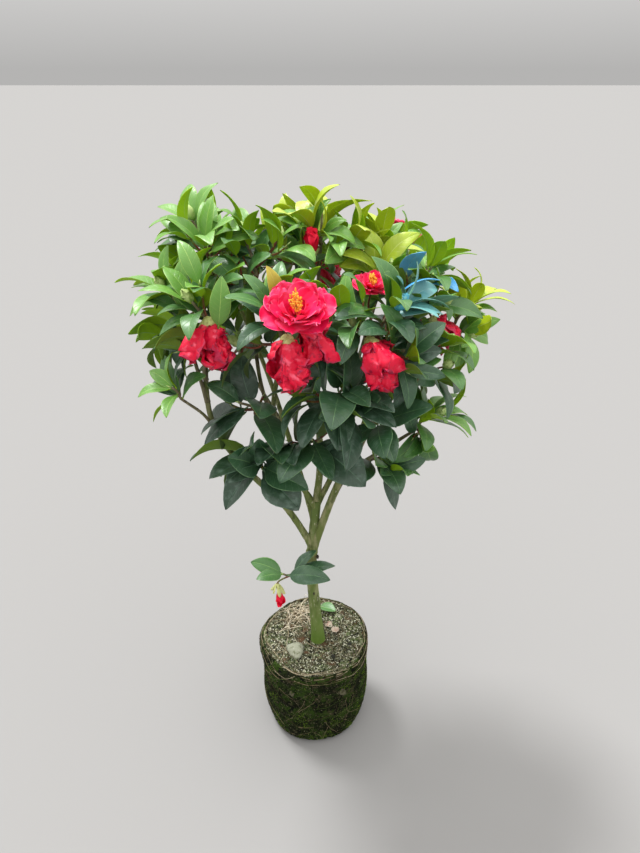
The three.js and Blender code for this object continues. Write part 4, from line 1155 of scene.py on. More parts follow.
class Nodes:
    """Short hand for the nodes of a material or of the sky."""

    def __init__(self, owner):
        owner.use_nodes = True
        self.nodes = owner.node_tree.nodes
        self.links = owner.node_tree.links
        self.place = None

    def feed(self, value, socket):
        if isinstance(value, bpy.types.NodeSocket):
            self.links.new(value, socket)
        else:
            socket.default_value = value

    def add(self, kind, inputs, output, **settings):
        """A new node of a kind, with its settings and inputs; gives its output."""
        node = self.nodes.new(f"ShaderNode{kind}")
        for name, value in settings.items():
            setattr(node, name, value)
        for name, value in inputs.items():
            self.feed(value, node.inputs[name])
        return node.outputs[output]

    def math(self, operation, *values):
        """A sum of numbers or of other nodes' numbers."""
        return self.add("Math", dict(enumerate(values)), 0, operation=operation)

    def cloud(self, size, detail=4):
        return self.add("TexNoise", {"Scale": 1 / size, "Detail": detail, "Vector": self.place}, "Fac")

    def window(self, value, low, high):
        """From 0 at low to 1 at high, with soft ends."""
        return self.add("MapRange", {"From Min": low, "From Max": high, "Value": value}, "Result",
                        interpolation_type="SMOOTHSTEP")

    def blend(self, factor, first, second):
        return self.add("Mix", {"Factor": factor, "A": first, "B": second}, "Result", data_type="RGBA")

    def relief(self, shader, height, depth):
        """Bumps of a depth in metres, on top of any made before."""
        before = [link.from_socket for link in shader.inputs["Normal"].links]
        inputs = {"Distance": depth, "Height": height} | ({"Normal": before[0]} if before else {})
        self.feed(self.add("Bump", inputs, "Normal"), shader.inputs["Normal"])

    def blade_map(self):
        """Where a spot of a blade is: across the blade and along it, as shares."""
        marks = self.add("UVMap", {}, "UV", uv_map="blade")
        return [self.add("SeparateXYZ", {"Vector": marks}, output) for output in ("X", "Y")]

    def side_veins(self):
        """Thin slanting lines from a blade's rib to its edges."""
        across, along = self.blade_map()
        aside = self.math("ABSOLUTE", self.math("SUBTRACT", across, 0.5))
        bend = self.math("MULTIPLY", self.math("POWER", aside, 0.8), VEIN_SLANT)
        rank = self.math("SUBTRACT", self.math("MULTIPLY", along, VEINS_A_LEAF), bend)
        within = self.math("ABSOLUTE", self.math("SUBTRACT", self.math("FRACT", rank), 0.5))
        return self.window(within, 0.4, 0.5)


def surface(name, base, *layers, rough=0.6, gloss=0.5, coat=None, relief=None, stretch=(1, 1, 1),
            veins=None, root=None, foot=None):
    """A material of a base colour under layers of noise: each a colour, a size and two thresholds.
    Its relief is a depth and a size. A blade may have veins and a root of another colour, and a
    limb a foot of another colour that fades out between two heights."""
    material = bpy.data.materials.new(name)
    nodes = Nodes(material)
    shader = nodes.nodes["Principled BSDF"]
    place = nodes.add("TexCoord", {}, "Object")
    nodes.place = nodes.add("Mapping", {"Scale": stretch, "Vector": place}, "Vector")
    shader.inputs["Roughness"].default_value = rough
    shader.inputs["Specular IOR Level"].default_value = gloss
    if coat:
        shader.inputs["Coat Weight"].default_value, shader.inputs["Coat Roughness"].default_value = coat
    colour = linear(base)
    for shade, size, low, high in layers:
        colour = nodes.blend(nodes.window(nodes.cloud(size), low, high), colour, linear(shade))
    if foot:
        shade, low, high = foot
        height = nodes.add("SeparateXYZ", {"Vector": place}, "Z")
        colour = nodes.blend(nodes.window(height, low, high), linear(shade), colour)
    if root:
        _, along = nodes.blade_map()
        colour = nodes.blend(nodes.window(along, *ROOT_COLOUR_ENDS), linear(root), colour)
    if veins:
        ribs = nodes.side_veins()
        colour = nodes.blend(nodes.math("MULTIPLY", ribs, VEIN_TINT), colour, linear(veins))
        nodes.relief(shader, ribs, -VEIN_DEPTH)
    nodes.feed(colour, shader.inputs["Base Color"])
    if relief:
        depth, size = relief
        nodes.relief(shader, nodes.cloud(size, 5), depth)
    return material


def leaf_materials(tone):
    """Upper side, underside and ribs of the leaves of one tone."""
    upper, under, rib = LEAF_TONES[tone]
    # A layer that is partly dust and partly a painted sheen of the sky
    dust_and_sheen = [(DUST_AND_SHEEN, 0.012, DUST_AND_SHEEN_FROM[tone], DUST_AND_SHEEN_FROM[tone] + 0.7)] if tone in DUST_AND_SHEEN_FROM else []
    root = LEAF_TONES["dark"][0] if tone == "painted" else None
    return [
        surface(f"leaf_{tone}", upper, (rib, 0.03, 0.5, 1.3), *dust_and_sheen, rough=0.38, coat=(0.18, 0.38),
                relief=(0.0003, 0.005), veins=rib, root=root),
        # The underside: paler, and lightened further as painted light shining through the leaf
        surface(f"leaf_underside_{tone}", under, (upper, 0.03, 0.5, 1.2), gloss=0.2, veins=rib, root=root),
        # The ribs' colour, which also lines the upper rims as a painted highlight
        surface(f"leaf_rib_{tone}", rib, (upper, 0.01, 0.42, 0.78), rough=0.45),
    ]


SPRAY_SPREAD = 0.6
AGE_SHADE = 0.5
# Painted shade and light: leaves under others are dealt darker tones and open ones brighter, for
# the shade and light that fall in the crown as well as the darker green of shaded leaves. How
# near others count, and how many tones apart the two ends are
COVER_RISE = 0.004
COVER_REACH = 0.03
COVER_SLOPE = 0.5
COVER_PAINTED_SHADE = 1.8
HALF_COVERED = 0.4
MOST_BRIGHTENED = 0.78
# Where marker paint was sprayed on the crown, how far it carried there, and the tone of the leaves
PAINT_MARKS = [
    (np.array([0.148, -0.022, 0.999]), 0.01, "painted"),
    (np.array([0.185, -0.022, 0.965]), 0.01, "painted"),
    (np.array([0.143, -0.084, 0.985]), 0.008, "painted"),
    (np.array([0.17, -0.069, 0.949]), 0.01, "misted"),
    (np.array([0.135, -0.105, 0.985]), 0.034, "misted"),
]
PAINTED_BUDS_PLACE = np.array([0.111, -0.118, 0.974])
PAINTED_BUDS = [((0.7, 0.1, 0.7), 0.023), ((0.95, -0.3, 0.25), 0.021), ((0.6, -0.75, 0.3), 0.019)]
# Where one leaf has turned yellow
YELLOWING_PLACE = np.array([-0.04, -0.13, 1.022])


def paint_on(place):
    """The tone of the paint that landed on a place, if any did."""
    for middle, reach, tone in PAINT_MARKS:
        if norm(place - middle) < reach:
            return tone
    return None


def cover_ranks(middles, masses):
    """For each leaf, from 0 to 1, how much the others above it cover it among its own mass."""
    offsets = middles[None] - middles[:, None]
    above = offsets[..., 2]
    near = norm(offsets[..., :2], axis=2) < COVER_REACH + COVER_SLOPE * above
    cover = np.sum((above > COVER_RISE) & near, axis=1)
    ranks = np.zeros(len(middles))
    for mass in np.unique(masses):
        own = np.flatnonzero(masses == mass)
        order = np.argsort(cover[own], kind="stable")
        ranks[own[order]] = (np.arange(len(own)) + 0.5) / len(own)
    return ranks


def dress_foliage(plant):
    """Deals the leaves out by tone, spray by spray, and makes one piece of each tone."""
    rng = np.random.default_rng(5)
    leaves = plant["leaves"]
    levels = [mass.tone for mass in MASSES.values()]
    shift = {shoot["number"]: rng.uniform(-SPRAY_SPREAD, SPRAY_SPREAD) for shoot in plant["shoots"]}
    sprays = {tone: [] for tone in LEAF_TONES}
    middles = np.array([leaf["base"] + leaf["along"] * leaf["size"] / 2 for leaf in leaves])
    ranks = cover_ranks(middles, np.array([leaf["mass"] for leaf in leaves]))
    yellowing = np.argmin(norm(middles - YELLOWING_PLACE, axis=1))
    for number, (leaf, middle, rank) in enumerate(zip(leaves, middles, ranks)):
        change = shift[leaf["shoot"]["number"]] + AGE_SHADE * (0.5 - leaf["age"] - leaf["fine"])
        # Painted shade for leaves that others cover, painted light for open ones
        change += COVER_PAINTED_SHADE * (HALF_COVERED - rank)
        level = round(levels[leaf["mass"]] + min(change, MOST_BRIGHTENED))
        tone = paint_on(middle) or GROWING_TONES[int(np.clip(level, 0, len(GROWING_TONES) - 1))]
        sprays["yellowing" if number == yellowing else tone].append(leaf)
    for tone, spray in sprays.items():
        if spray:
            shape = Shape()
            shape_blades(shape, spray, rng)
            shape.piece(f"leaves_{tone}", leaf_materials(tone), "foliage", MASS_NODES.values())


# Healed wounds on the trunk: their places and half sizes
SCARS = [
    ((-0.0065, -0.0215, 0.386), (0.0022, 0.002, 0.009)),
    ((-0.001, -0.0205, 0.35), (0.0028, 0.002, 0.005)),
    ((0.0065, -0.014, 0.44), (0.002, 0.003, 0.006)),
]
COLLAR_LENGTH = 0.012
FORK_COLLAR = 0.45
TIP_COLLAR = 0.2
# For each kind of shoot: its paint, its sides and how often a flower bud stands at its tip
SHOOT_KINDS = {"leader": (0, 10, 0.8), "side": (1, 8, 0.45), "fine": (2, 6, 0.15)}
SHADED_TONE = 1.1
PAIRED_BUDS = 0.25
BUD_LENGTH = (0.016, 0.023)
LEAF_BUD_LENGTH = (0.008, 0.012)
LEAF_BUD_THICKNESS = 0.0019
THIN_TWIG = 0.008
RIDGE_SIZE = 0.0035
RIDGE_SQUEEZE = [1, 1, 0.18]
RIDGE_HEIGHT = 0.00035
LUMP_SIZE = 0.012
LUMP_SHARE = 0.05


def bark_relief(places, radius):
    """Fine long ridges and low lumps of smooth bark."""
    ridges = noise_at(places * RIDGE_SQUEEZE, RIDGE_SIZE)
    lumps = noise_at(places, LUMP_SIZE)
    return RIDGE_HEIGHT * ridges * min(1, radius / THIN_TWIG) + LUMP_SHARE * radius * lumps


def flared(path, radius_at, collar):
    """A bough's radius with a collar where it leaves its parent."""
    return lambda share: radius_at(share) * (1 + collar * np.exp(-share * path.length / COLLAR_LENGTH))


def bark_materials():
    """Bark of the trunk, of the first stretch of the main stems and of the rest, and of scars."""
    return [
        surface("bark_trunk", "#62743a", ("#868c5c", 0.022, 0.44, 0.66), ("#42501f", 0.01, 0.52, 0.72),
                ("#6e5a3c", 0.026, 0.6, 0.72), ("#b0b090", 0.004, 0.6, 0.7), rough=0.7, gloss=0.25,
                relief=(0.0008, 0.003), stretch=(1, 1, 0.3), foot=("#5e7830", 0.22, 0.32)),
        surface("bark_stem", "#6c7840", ("#94926a", 0.014, 0.46, 0.66), ("#4a5428", 0.008, 0.52, 0.72),
                ("#b4b294", 0.004, 0.62, 0.7), rough=0.7, gloss=0.25, relief=(0.0008, 0.003),
                stretch=(1, 1, 0.3)),
        surface("bark_bough", "#7e765c", ("#a09880", 0.012, 0.48, 0.7), ("#4a4432", 0.008, 0.52, 0.72),
                ("#626a38", 0.02, 0.54, 0.7), rough=0.75, gloss=0.25, relief=(0.0007, 0.0025),
                stretch=(1, 1, 0.35)),
        surface("bark_scar", "#2c271c", ("#4a3f2c", 0.003, 0.5, 0.7), rough=0.85),
    ]


def dress_wood(plant):
    """The trunk and boughs under one skin of bark, and the twigs in three thinner ones."""
    bark = Shape()
    tube(bark, *plant["limbs"]["trunk"], 40, 0.003, bark_relief)
    for name, bough in BOUGHS.items():
        path, radius_at = plant["limbs"][name]
        collar = TIP_COLLAR if bough.height is None else FORK_COLLAR
        paint = 1 if bough.parent == "trunk" else 2
        tube(bark, path, flared(path, radius_at, collar), 16, 0.0035, bark_relief, paint)
    for place, size in SCARS:
        place_one(bark, NUGGET, place, UP, size, 3)
    bark.piece("bark", bark_materials(), "bark", plant["limbs"])
    twigs = Shape()
    for shoot in plant["shoots"]:
        paint, sides, _ = SHOOT_KINDS[shoot["kind"]]
        tube(twigs, shoot["path"], shoot["radius_at"], sides, 0.005, None, paint)
    for stalk in plant["stalks"]:
        tube(twigs, stalk, lambda share: np.full(len(share), STALK_RADIUS * 0.8), 8, 0.005, None, 1)
    twigs.piece("twigs", [
        surface("twig_old", "#786c54", ("#968c72", 0.008, 0.5, 0.7), rough=0.75, relief=(0.0003, 0.002)),
        surface("twig_young", "#6e3424", ("#6a7238", 0.015, 0.48, 0.7), rough=0.55),
        surface("twig_new", "#84402e", ("#7c8c3e", 0.012, 0.45, 0.7), rough=0.5),
    ], "bark", MASS_NODES.values())


def petal_materials():
    """Petals of open, spent and furled blooms, and the paler rims of open and spent ones."""
    return [
        # Open petals: pale pink patches are painted highlights, deep red patches painted shade in folds
        surface("petal_open", "#ee1c58", ("#fb5a88", 0.02, 0.46, 0.8), ("#dc0a3e", 0.012, 0.55, 0.85),
                rough=0.5, gloss=0.2, relief=(0.0003, 0.003)),
        # Spent petals: the pale pink patches are painted highlights
        surface("petal_spent", "#e4123c", ("#980e34", 0.009, 0.56, 0.74), ("#ff6a84", 0.012, 0.54, 0.76),
                rough=0.45, gloss=0.3, relief=(0.0008, 0.004)),
        surface("petal_furled", "#e40c34", ("#f8385c", 0.012, 0.5, 0.85), rough=0.5, gloss=0.2,
                relief=(0.0003, 0.003)),
        surface("petal_rim", "#f4517e", ("#e81e50", 0.006, 0.45, 0.75), rough=0.55),
        surface("petal_spent_rim", "#cc2450", ("#981640", 0.006, 0.52, 0.66)),
    ]


def dress_buds(buds, plant, rng):
    """A flower bud or two, or else a leaf bud, at the tip of each shoot, and the painted buds."""
    levels = [mass.tone for mass in MASSES.values()]
    for shoot in plant["shoots"]:
        tip = shoot["path"].at(1)
        axis = shoot["path"].heading(1)
        _, _, chance = SHOOT_KINDS[shoot["kind"]]
        if rng.uniform() < chance and levels[shoot["mass"]] > SHADED_TONE:
            for _ in range(1 + int(rng.uniform() < PAIRED_BUDS)):
                lean = unit(axis + 0.4 * UP + rng.normal(0, 0.12, 3))
                flower_bud(buds, tip, lean, rng.uniform(*BUD_LENGTH), rng)
        else:
            size = [LEAF_BUD_THICKNESS, LEAF_BUD_THICKNESS, rng.uniform(*LEAF_BUD_LENGTH)]
            place_one(buds, SPIKE, tip, axis, size)
    for axis, length in PAINTED_BUDS:
        flower_bud(buds, PAINTED_BUDS_PLACE, unit(np.array(axis)), length, rng, 1)


def dress_blooms(plant):
    """Blooms with their calyxes, and the buds at the tips of the shoots."""
    rng = np.random.default_rng(21)
    blooms, centres, buds = Shape(), Shape(), Shape()
    for bloom in BLOOMS:
        foot, axis, _, _ = bloom_places(bloom)
        if bloom.form == "open":
            open_bloom(blooms, centres, foot, axis, bloom.radius, rng)
            calyx(buds, foot, axis, 0.24 * bloom.radius, rng)
        elif bloom.form == "wilted":
            spent_bloom(blooms, foot, axis, bloom.radius, rng)
            calyx(buds, foot, axis, 0.56 * bloom.radius, rng)
        else:
            closed_bloom(blooms, foot, axis, bloom.radius, rng)
            if axis[2] < 0:
                bracts(buds, foot, axis, BRACT_LENGTH, rng)
            else:
                calyx(buds, foot, axis, 0.9 * bloom.radius, rng)
    dress_buds(buds, plant, rng)
    with_blooms = sorted({MASS_NODES[bloom.mass] for bloom in BLOOMS})
    blooms.piece("petals", petal_materials(), "foliage", with_blooms)
    centres.piece("stamens", [
        surface("stamens", "#f28a2c", rough=0.5),
        surface("anthers", "#f6a62a", ("#f8cc4c", 0.002, 0.45, 0.6)),
    ], "foliage")
    buds.piece("buds", [
        surface("bud_green", "#b8cc80", ("#8cab58", 0.006, 0.5, 0.75), rough=0.45),
        surface("bud_painted", "#48a2bc", ("#84bcb0", 0.006, 0.5, 0.75), rough=0.45),
        surface("bract", "#c8cc86", ("#a3a862", 0.004, 0.5, 0.7), ("#8a6a48", 0.003, 0.62, 0.72)),
    ], "foliage")


def ball_profile():
    """The root ball's outline from the middle of its underside to the middle of its top."""
    side = through([
        (BALL_FOOT_RADIUS - BALL_EDGE, 0, 0),
        (BALL_FOOT_RADIUS - 0.002, 0, BALL_EDGE * 0.8),
        (BALL_FOOT_RADIUS + 0.004, 0, BALL_HEIGHT * 0.3),
        (BALL_TOP_RADIUS - 0.004, 0, BALL_HEIGHT * 0.7),
        (BALL_TOP_RADIUS, 0, BALL_HEIGHT - BALL_EDGE),
        (BALL_TOP_RADIUS - BALL_EDGE * 0.4, 0, BALL_HEIGHT - BALL_EDGE * 0.3),
        (BALL_TOP_RADIUS - BALL_EDGE * 1.6, 0, BALL_HEIGHT),
    ])
    return Path(np.concatenate([[(0, 0, 0)], np.maximum(side.places, 0), [(0, 0, BALL_HEIGHT)]]))


PROFILE = ball_profile()
# Where the underside ends and the top begins, as shares of the way along the outline
FOOT_SHARE = (BALL_FOOT_RADIUS - BALL_EDGE) / PROFILE.length
RIM_SHARE = 1 - (BALL_TOP_RADIUS - BALL_EDGE) / PROFILE.length
BALL_COLUMNS = 320
LIP_HEIGHT = 0.0016
LIP_SHARE = 0.012
# A shallow ring that the pot's rim pressed into the side
RING_DROP = 0.016
RING_BREADTH = 0.0022
RING_DEPTH = 0.0016
CLOD_SIZE = 0.011
CLOD_HEIGHT = 0.0018
CRUMB_SIZE = 0.0034
CRUMB_HEIGHT = 0.001
MOSS_TUFTS = 34000
MOSS_HEIGHT = (0.0014, 0.0034)
MOSS_THICKNESS = (0.0003, 0.0006)
MOSS_PATCH = 0.024
# Where one tone of moss gives way to the next, from the darkest
MOSS_EDGES = (-0.14, 0.08, 0.3)
# Each tone of moss: its colour, the shade in it, the shade's size and the gloss
MOSS_TONES = [
    ("dark", "#121a0b", "#0b1007", 0.01, 0.08),
    ("deep", "#223010", "#141d0a", 0.01, 0.08),
    ("green", "#3e561c", "#283a12", 0.012, 0.08),
    ("bright", "#6a8a22", "#4c661a", 0.01, 0.1),
]
# Towards the rim the side is barer and browner
BARE_BAND_SHADE = 0.7
GRIT_GRAINS = 4200
GRIT_ON_TOP = 0.88
GRAIN_RADIUS = (0.0004, 0.0013)
# Where one tone of grit gives way to the next, from the darkest
GRIT_EDGES = (0.2, 0.46, 0.74)
# How much more alike neighbouring grains are than the rest
GRIT_CLUMPING = 0.7
GRAVEL = 16
GRAVEL_SIZE = (0.0018, 0.004)
STONE_PLACE = np.array([-0.0384, -0.0449, BALL_HEIGHT + 0.003])
STONE_SIZE = np.array([0.0162, 0.0215, 0.009])
STONE_TAPER = 0.5
# Stones that show in the side: the share along the outline, the angle in degrees and the size
SIDE_STONES = [
    (0.62, -62, (0.013, 0.006, 0.008)),
    (0.6, -115, (0.006, 0.005, 0.009)),
    (0.5, 40, (0.009, 0.006, 0.006)),
    (0.56, 150, (0.008, 0.006, 0.007)),
]
SIDE_ROOTS = 170
TOP_ROOTS = 110
RIM_ROOTS = 44
ROOT_STEP = 0.004
# Each tone of root: its colour, the shade in it, its roughness and gloss
ROOT_TONES = [
    ("pale", "#a2967c", "#7c6f56", 0.85, 0.2),
    ("tan", "#82745a", "#5a4e38", 0.85, 0.2),
    ("brown", "#4a3f2e", "#33291b", 0.9, 0.1),
    ("green", "#4a5a2a", "#333d1c", 0.9, 0.1),
    ("straw", "#e4d9c2", "#a8987a", 0.85, 0.2),
]
TANGLE_ROOTS = 150
TANGLE_PLACE = np.array([-0.038, 0.055, BALL_HEIGHT])
TANGLE_REACH = 0.03
FALLEN_LEAF = np.array([0.024, 0.071, BALL_HEIGHT + 0.003])
FALLEN_PETAL = np.array([0.037, 0.018, BALL_HEIGHT + 0.003])


def ball_places(shares, angles, stand_off=0.0):
    """Places on the root ball by the share of the way along its outline and the angle round it."""
    place = PROFILE.at(shares)
    radius, height = place[..., 0], place[..., 2]
    slope = PROFILE.at(shares + 0.004) - PROFILE.at(shares - 0.004)
    outward = unit(np.stack([slope[..., 2], -slope[..., 0]], axis=-1) + [1e-9, 0])
    lump = BALL_LUMPS * (np.sin(3 * angles + height / 0.04) + np.sin(5 * angles - height / 0.027))
    radius = radius + lump * np.clip(radius / 0.05, 0, 1) + stand_off * outward[..., 0]
    height = np.maximum(height + stand_off * outward[..., 1], 0)
    return np.stack([radius * np.cos(angles), radius * np.sin(angles), height], axis=-1), outward


def facing_out(angles, outward):
    """The directions that point straight out of the ball's surface."""
    spokes = np.stack([np.cos(angles), np.sin(angles), np.zeros_like(angles)], axis=-1)
    return outward[..., :1] * spokes + outward[..., 1:] * UP


def bump_at(values, middle, breadth):
    """From 0 to 1 and back round a middle."""
    return np.exp(-(((values - middle) / breadth) ** 2))


def dress_soil():
    """The body of the root ball: clods, the ring that the pot pressed in, and a low lip."""
    angles = np.arange(BALL_COLUMNS) / BALL_COLUMNS * FULL_TURN
    shares = np.concatenate([
        np.linspace(0.0005, FOOT_SHARE, 8, endpoint=False),
        np.linspace(FOOT_SHARE, RIM_SHARE, 140, endpoint=False),
        np.linspace(RIM_SHARE, 0.9995, 70),
    ])
    grid_share, grid_angle = np.meshgrid(shares, angles, indexing="ij")
    places, outward = ball_places(grid_share, grid_angle)
    flat = places.reshape(-1, 3)
    rough = CLOD_HEIGHT * noise_at(flat, CLOD_SIZE, 3) + CRUMB_HEIGHT * noise_at(flat + 5, CRUMB_SIZE, 2)
    rough = rough.reshape(grid_share.shape)
    ring = bump_at(places[..., 2], BALL_HEIGHT - RING_DROP, RING_BREADTH)
    rough = rough - RING_DEPTH * ring * (grid_share < RIM_SHARE)
    rough = rough + LIP_HEIGHT * bump_at(grid_share, RIM_SHARE - LIP_SHARE, LIP_SHARE)
    rough = rough * np.clip((grid_share - FOOT_SHARE) / 0.02, 0, 1)
    places = places + rough[..., None] * facing_out(grid_angle, outward)
    places[..., 2] = np.maximum(places[..., 2], 0)
    rows = len(shares)
    points = np.concatenate([places.reshape(-1, 3), [(0, 0, 0), (0, 0, places[-1, :, 2].mean())]])
    paints = np.repeat((shares[:-1] > RIM_SHARE - 0.01).astype(int), BALL_COLUMNS)
    foot, top = end_fans(rows, BALL_COLUMNS)
    soil = Shape()
    soil.add(points, (grid_faces(rows, BALL_COLUMNS, closed=True), paints), (foot, 0), (top, 1))
    soil.piece("root_ball_soil", [
        surface("soil_side", "#171b0c", ("#2c3e14", 0.03, 0.42, 0.62), ("#423e2c", 0.014, 0.54, 0.7),
                ("#0c0e08", 0.008, 0.5, 0.64), ("#7c785e", 0.0035, 0.62, 0.7), rough=0.92, gloss=0.08,
                relief=(0.0022, 0.003)),
        surface("soil_top", "#4a4a36", ("#5c6a44", 0.03, 0.48, 0.66), ("#14150e", 0.007, 0.46, 0.58),
                ("#a8a890", 0.004, 0.55, 0.66), ("#54402e", 0.018, 0.56, 0.7), rough=0.92, gloss=0.1,
                relief=(0.002, 0.002)),
    ], "root_ball", ["root_ball"])


def dress_moss(rng):
    """Small tufts of moss that cover most of the side and patches of the top."""
    shares = rng.uniform(FOOT_SHARE + 0.012, 0.99, MOSS_TUFTS)
    angles = rng.uniform(0, FULL_TURN, MOSS_TUFTS)
    spots, outward = ball_places(shares, angles, -0.0003)
    cover = noise_at(spots, MOSS_PATCH, 2)
    on_top = shares > RIM_SHARE
    thinned = np.where(on_top, 1.1 * (1 - shares) / (1 - RIM_SHARE), 1)
    bare = -0.3 + 0.9 * np.clip(spots[:, 2] / BALL_HEIGHT - 0.6, 0, 1)
    keep = np.where(on_top, cover > 0.1, cover > bare) & (rng.uniform(0, 1, MOSS_TUFTS) < thinned)
    spots, outward, angles, cover, on_top = (part[keep] for part in (spots, outward, angles, cover, on_top))
    number = len(spots)
    axes = unit(facing_out(angles, outward) + 0.5 * UP + rng.normal(0, 0.4, spots.shape))
    high = rng.uniform(*MOSS_HEIGHT, number)
    thick = rng.uniform(*MOSS_THICKNESS, number)
    hue = noise_at(spots + 11, 0.035, 2) + 0.25 * cover + rng.normal(0, 0.12, number)
    hue -= np.where(on_top, 0, BARE_BAND_SHADE * np.clip(spots[:, 2] / BALL_HEIGHT - 0.5, 0, 1))
    moss = Shape()
    sizes = np.stack([thick, thick, high], axis=1)
    scatter(moss, SPIKE, spots, axes, angles, sizes, np.digitize(hue, MOSS_EDGES))
    materials = [
        surface(f"moss_{name}", base, (shade, size, 0.5, 0.7), rough=0.9, gloss=gloss)
        for name, base, shade, size, gloss in MOSS_TONES
    ]
    moss.piece("moss", materials, "root_ball", smooth=False)


def stone(shape, place, size, turn, paint, taper=0.0):
    """A rounded stone with low facets, which may taper towards one end."""
    rows, columns = 14, 20
    heights = np.linspace(0.02, math.pi - 0.02, rows)[:, None]
    turns = (np.arange(columns) / columns * FULL_TURN)[None]
    across, over = np.sin(heights) * np.cos(turns), np.sin(heights) * np.sin(turns)
    flat = np.stack([across, over, np.cos(heights) * np.ones_like(turns)], axis=-1).reshape(-1, 3)
    lumps = 1 + 0.22 * noise_at(flat + place * 90, 0.9, 2)
    flat[:, 0] *= 1 + taper * flat[:, 1]
    flat = flat * lumps[:, None] * size
    spin = np.array([[math.cos(turn), math.sin(turn), 0], [-math.sin(turn), math.cos(turn), 0], [0, 0, 1]])
    shape.add(flat @ spin + place, (grid_faces(rows, columns, closed=True)[:, ::-1], paint))


def dress_grit(rng):
    """Grit and stones, nearly all of them on the top of the ball."""
    on_top = rng.uniform(0, 1, GRIT_GRAINS) < GRIT_ON_TOP
    shares = np.where(on_top, rng.uniform(RIM_SHARE - 0.01, 0.995, GRIT_GRAINS),
                      rng.uniform(FOOT_SHARE + 0.02, RIM_SHARE, GRIT_GRAINS))
    spread = np.sqrt(rng.uniform(0, 1, GRIT_GRAINS))
    shares = np.where(shares > RIM_SHARE, 1 - spread * (1 - RIM_SHARE), shares)
    angles = rng.uniform(0, FULL_TURN, GRIT_GRAINS)
    spots, _ = ball_places(shares, angles, 0.0003)
    keep = norm(spots[:, :2] - np.array(TRUNK_AXIS[0][:2]), axis=1) > TRUNK_RADIUS + TRUNK_FLARE
    spots, angles, shares = spots[keep], angles[keep], shares[keep]
    number = len(spots)
    radii = rng.uniform(*GRAIN_RADIUS, (number, 1)) * rng.uniform(0.7, 1.3, (number, 3))
    axes = unit(rng.normal(0, 1, (number, 3)))
    paleness = rng.uniform(0, 1, number) + GRIT_CLUMPING * noise_at(spots + 2, 0.008, 2)
    paints = np.where(shares < RIM_SHARE - 0.01, 2, 3 - np.digitize(paleness, GRIT_EDGES))
    grit = Shape()
    scatter(grit, NUGGET, spots, axes, angles, radii, paints)
    stone(grit, STONE_PLACE, STONE_SIZE, 0.2, 4, STONE_TAPER)
    for share, angle, size in SIDE_STONES:
        spot, _ = ball_places(np.array(share), np.radians(angle), -0.0015)
        stone(grit, spot, np.array(size), math.pi / 2 - math.radians(angle), 5)
    for _ in range(GRAVEL):
        share = rng.uniform(RIM_SHARE + 0.01, 0.97)
        angle = rng.uniform(0, FULL_TURN)
        spot, _ = ball_places(np.array(share), np.array(angle), 0.0008)
        size = rng.uniform(*GRAVEL_SIZE) * np.array([1.2, 1.0, 0.7])
        stone(grit, spot, size, angle, int(rng.integers(1, 5)))
    grit.piece("grit", [
        surface("grit_pale", "#cccbb6", rough=0.85),
        surface("grit_grey", "#7e806c", ("#5c5e4a", 0.002, 0.5, 0.6), rough=0.85),
        surface("grit_brown", "#4a4532", rough=0.9),
        surface("grit_dark", "#1e1f15", rough=0.9),
        surface("stone_grey", "#8c8e7c", ("#676b52", 0.007, 0.5, 0.66), ("#a8a898", 0.003, 0.56, 0.7),
                rough=0.85, gloss=0.2, relief=(0.0006, 0.002)),
        surface("stone_buried", "#5c5946", ("#3d3c2c", 0.005, 0.45, 0.62), ("#3c4c20", 0.008, 0.55, 0.68),
                rough=0.9, gloss=0.1, relief=(0.0008, 0.002)),
    ], "root_ball")


def creeping_root(rng, share, angle, heading, length, lowest, highest, stand_off, wander):
    """A root's line over the ball's surface, which keeps between two heights of its outline."""
    shares, angles = [share], [angle]
    for _ in range(int(length / ROOT_STEP)):
        heading += rng.normal(0, wander)
        share = np.clip(share + ROOT_STEP * math.sin(heading) / PROFILE.length, lowest, highest)
        angle += ROOT_STEP * math.cos(heading) / max(PROFILE.at(share)[0], 0.01)
        shares.append(share)
        angles.append(angle)
    places, _ = ball_places(np.array(shares), np.array(angles), stand_off)
    return Path(places)


def on_rim(angle, inward, rise=0.0015):
    """A place on the rim of the top by its angle in degrees and how far inside the edge it lies."""
    reach = BALL_TOP_RADIUS - inward
    turn = math.radians(angle)
    return reach * math.cos(turn), reach * math.sin(turn), BALL_HEIGHT + rise


# Thicker pale roots that lie on the rim and the top
LAID_ROOTS = [
    ([on_rim(-127, 0.011), on_rim(-112, 0.008), on_rim(-98, 0.01), on_rim(-84, 0.016)], 0.0009),
    ([on_rim(-66, 0.006, -0.002), on_rim(-52, 0.003, -0.003), on_rim(-36, 0.003, -0.002)], 0.0008),
    ([on_rim(122, 0.012), (-0.061, 0.05, BALL_HEIGHT + 0.003), (-0.056, 0, BALL_HEIGHT + 0.002),
      (-0.062, -0.045, BALL_HEIGHT + 0.002), on_rim(-133, 0.012)], 0.0008),
    ([on_rim(-30, 0.012), on_rim(-8, 0.008), on_rim(18, 0.012), on_rim(40, 0.02)], 0.0006),
    ([(-0.02, -0.02, BALL_HEIGHT + 0.002), (0.005, -0.035, BALL_HEIGHT + 0.002),
      (0.045, -0.03, BALL_HEIGHT + 0.002)], 0.0006),
]


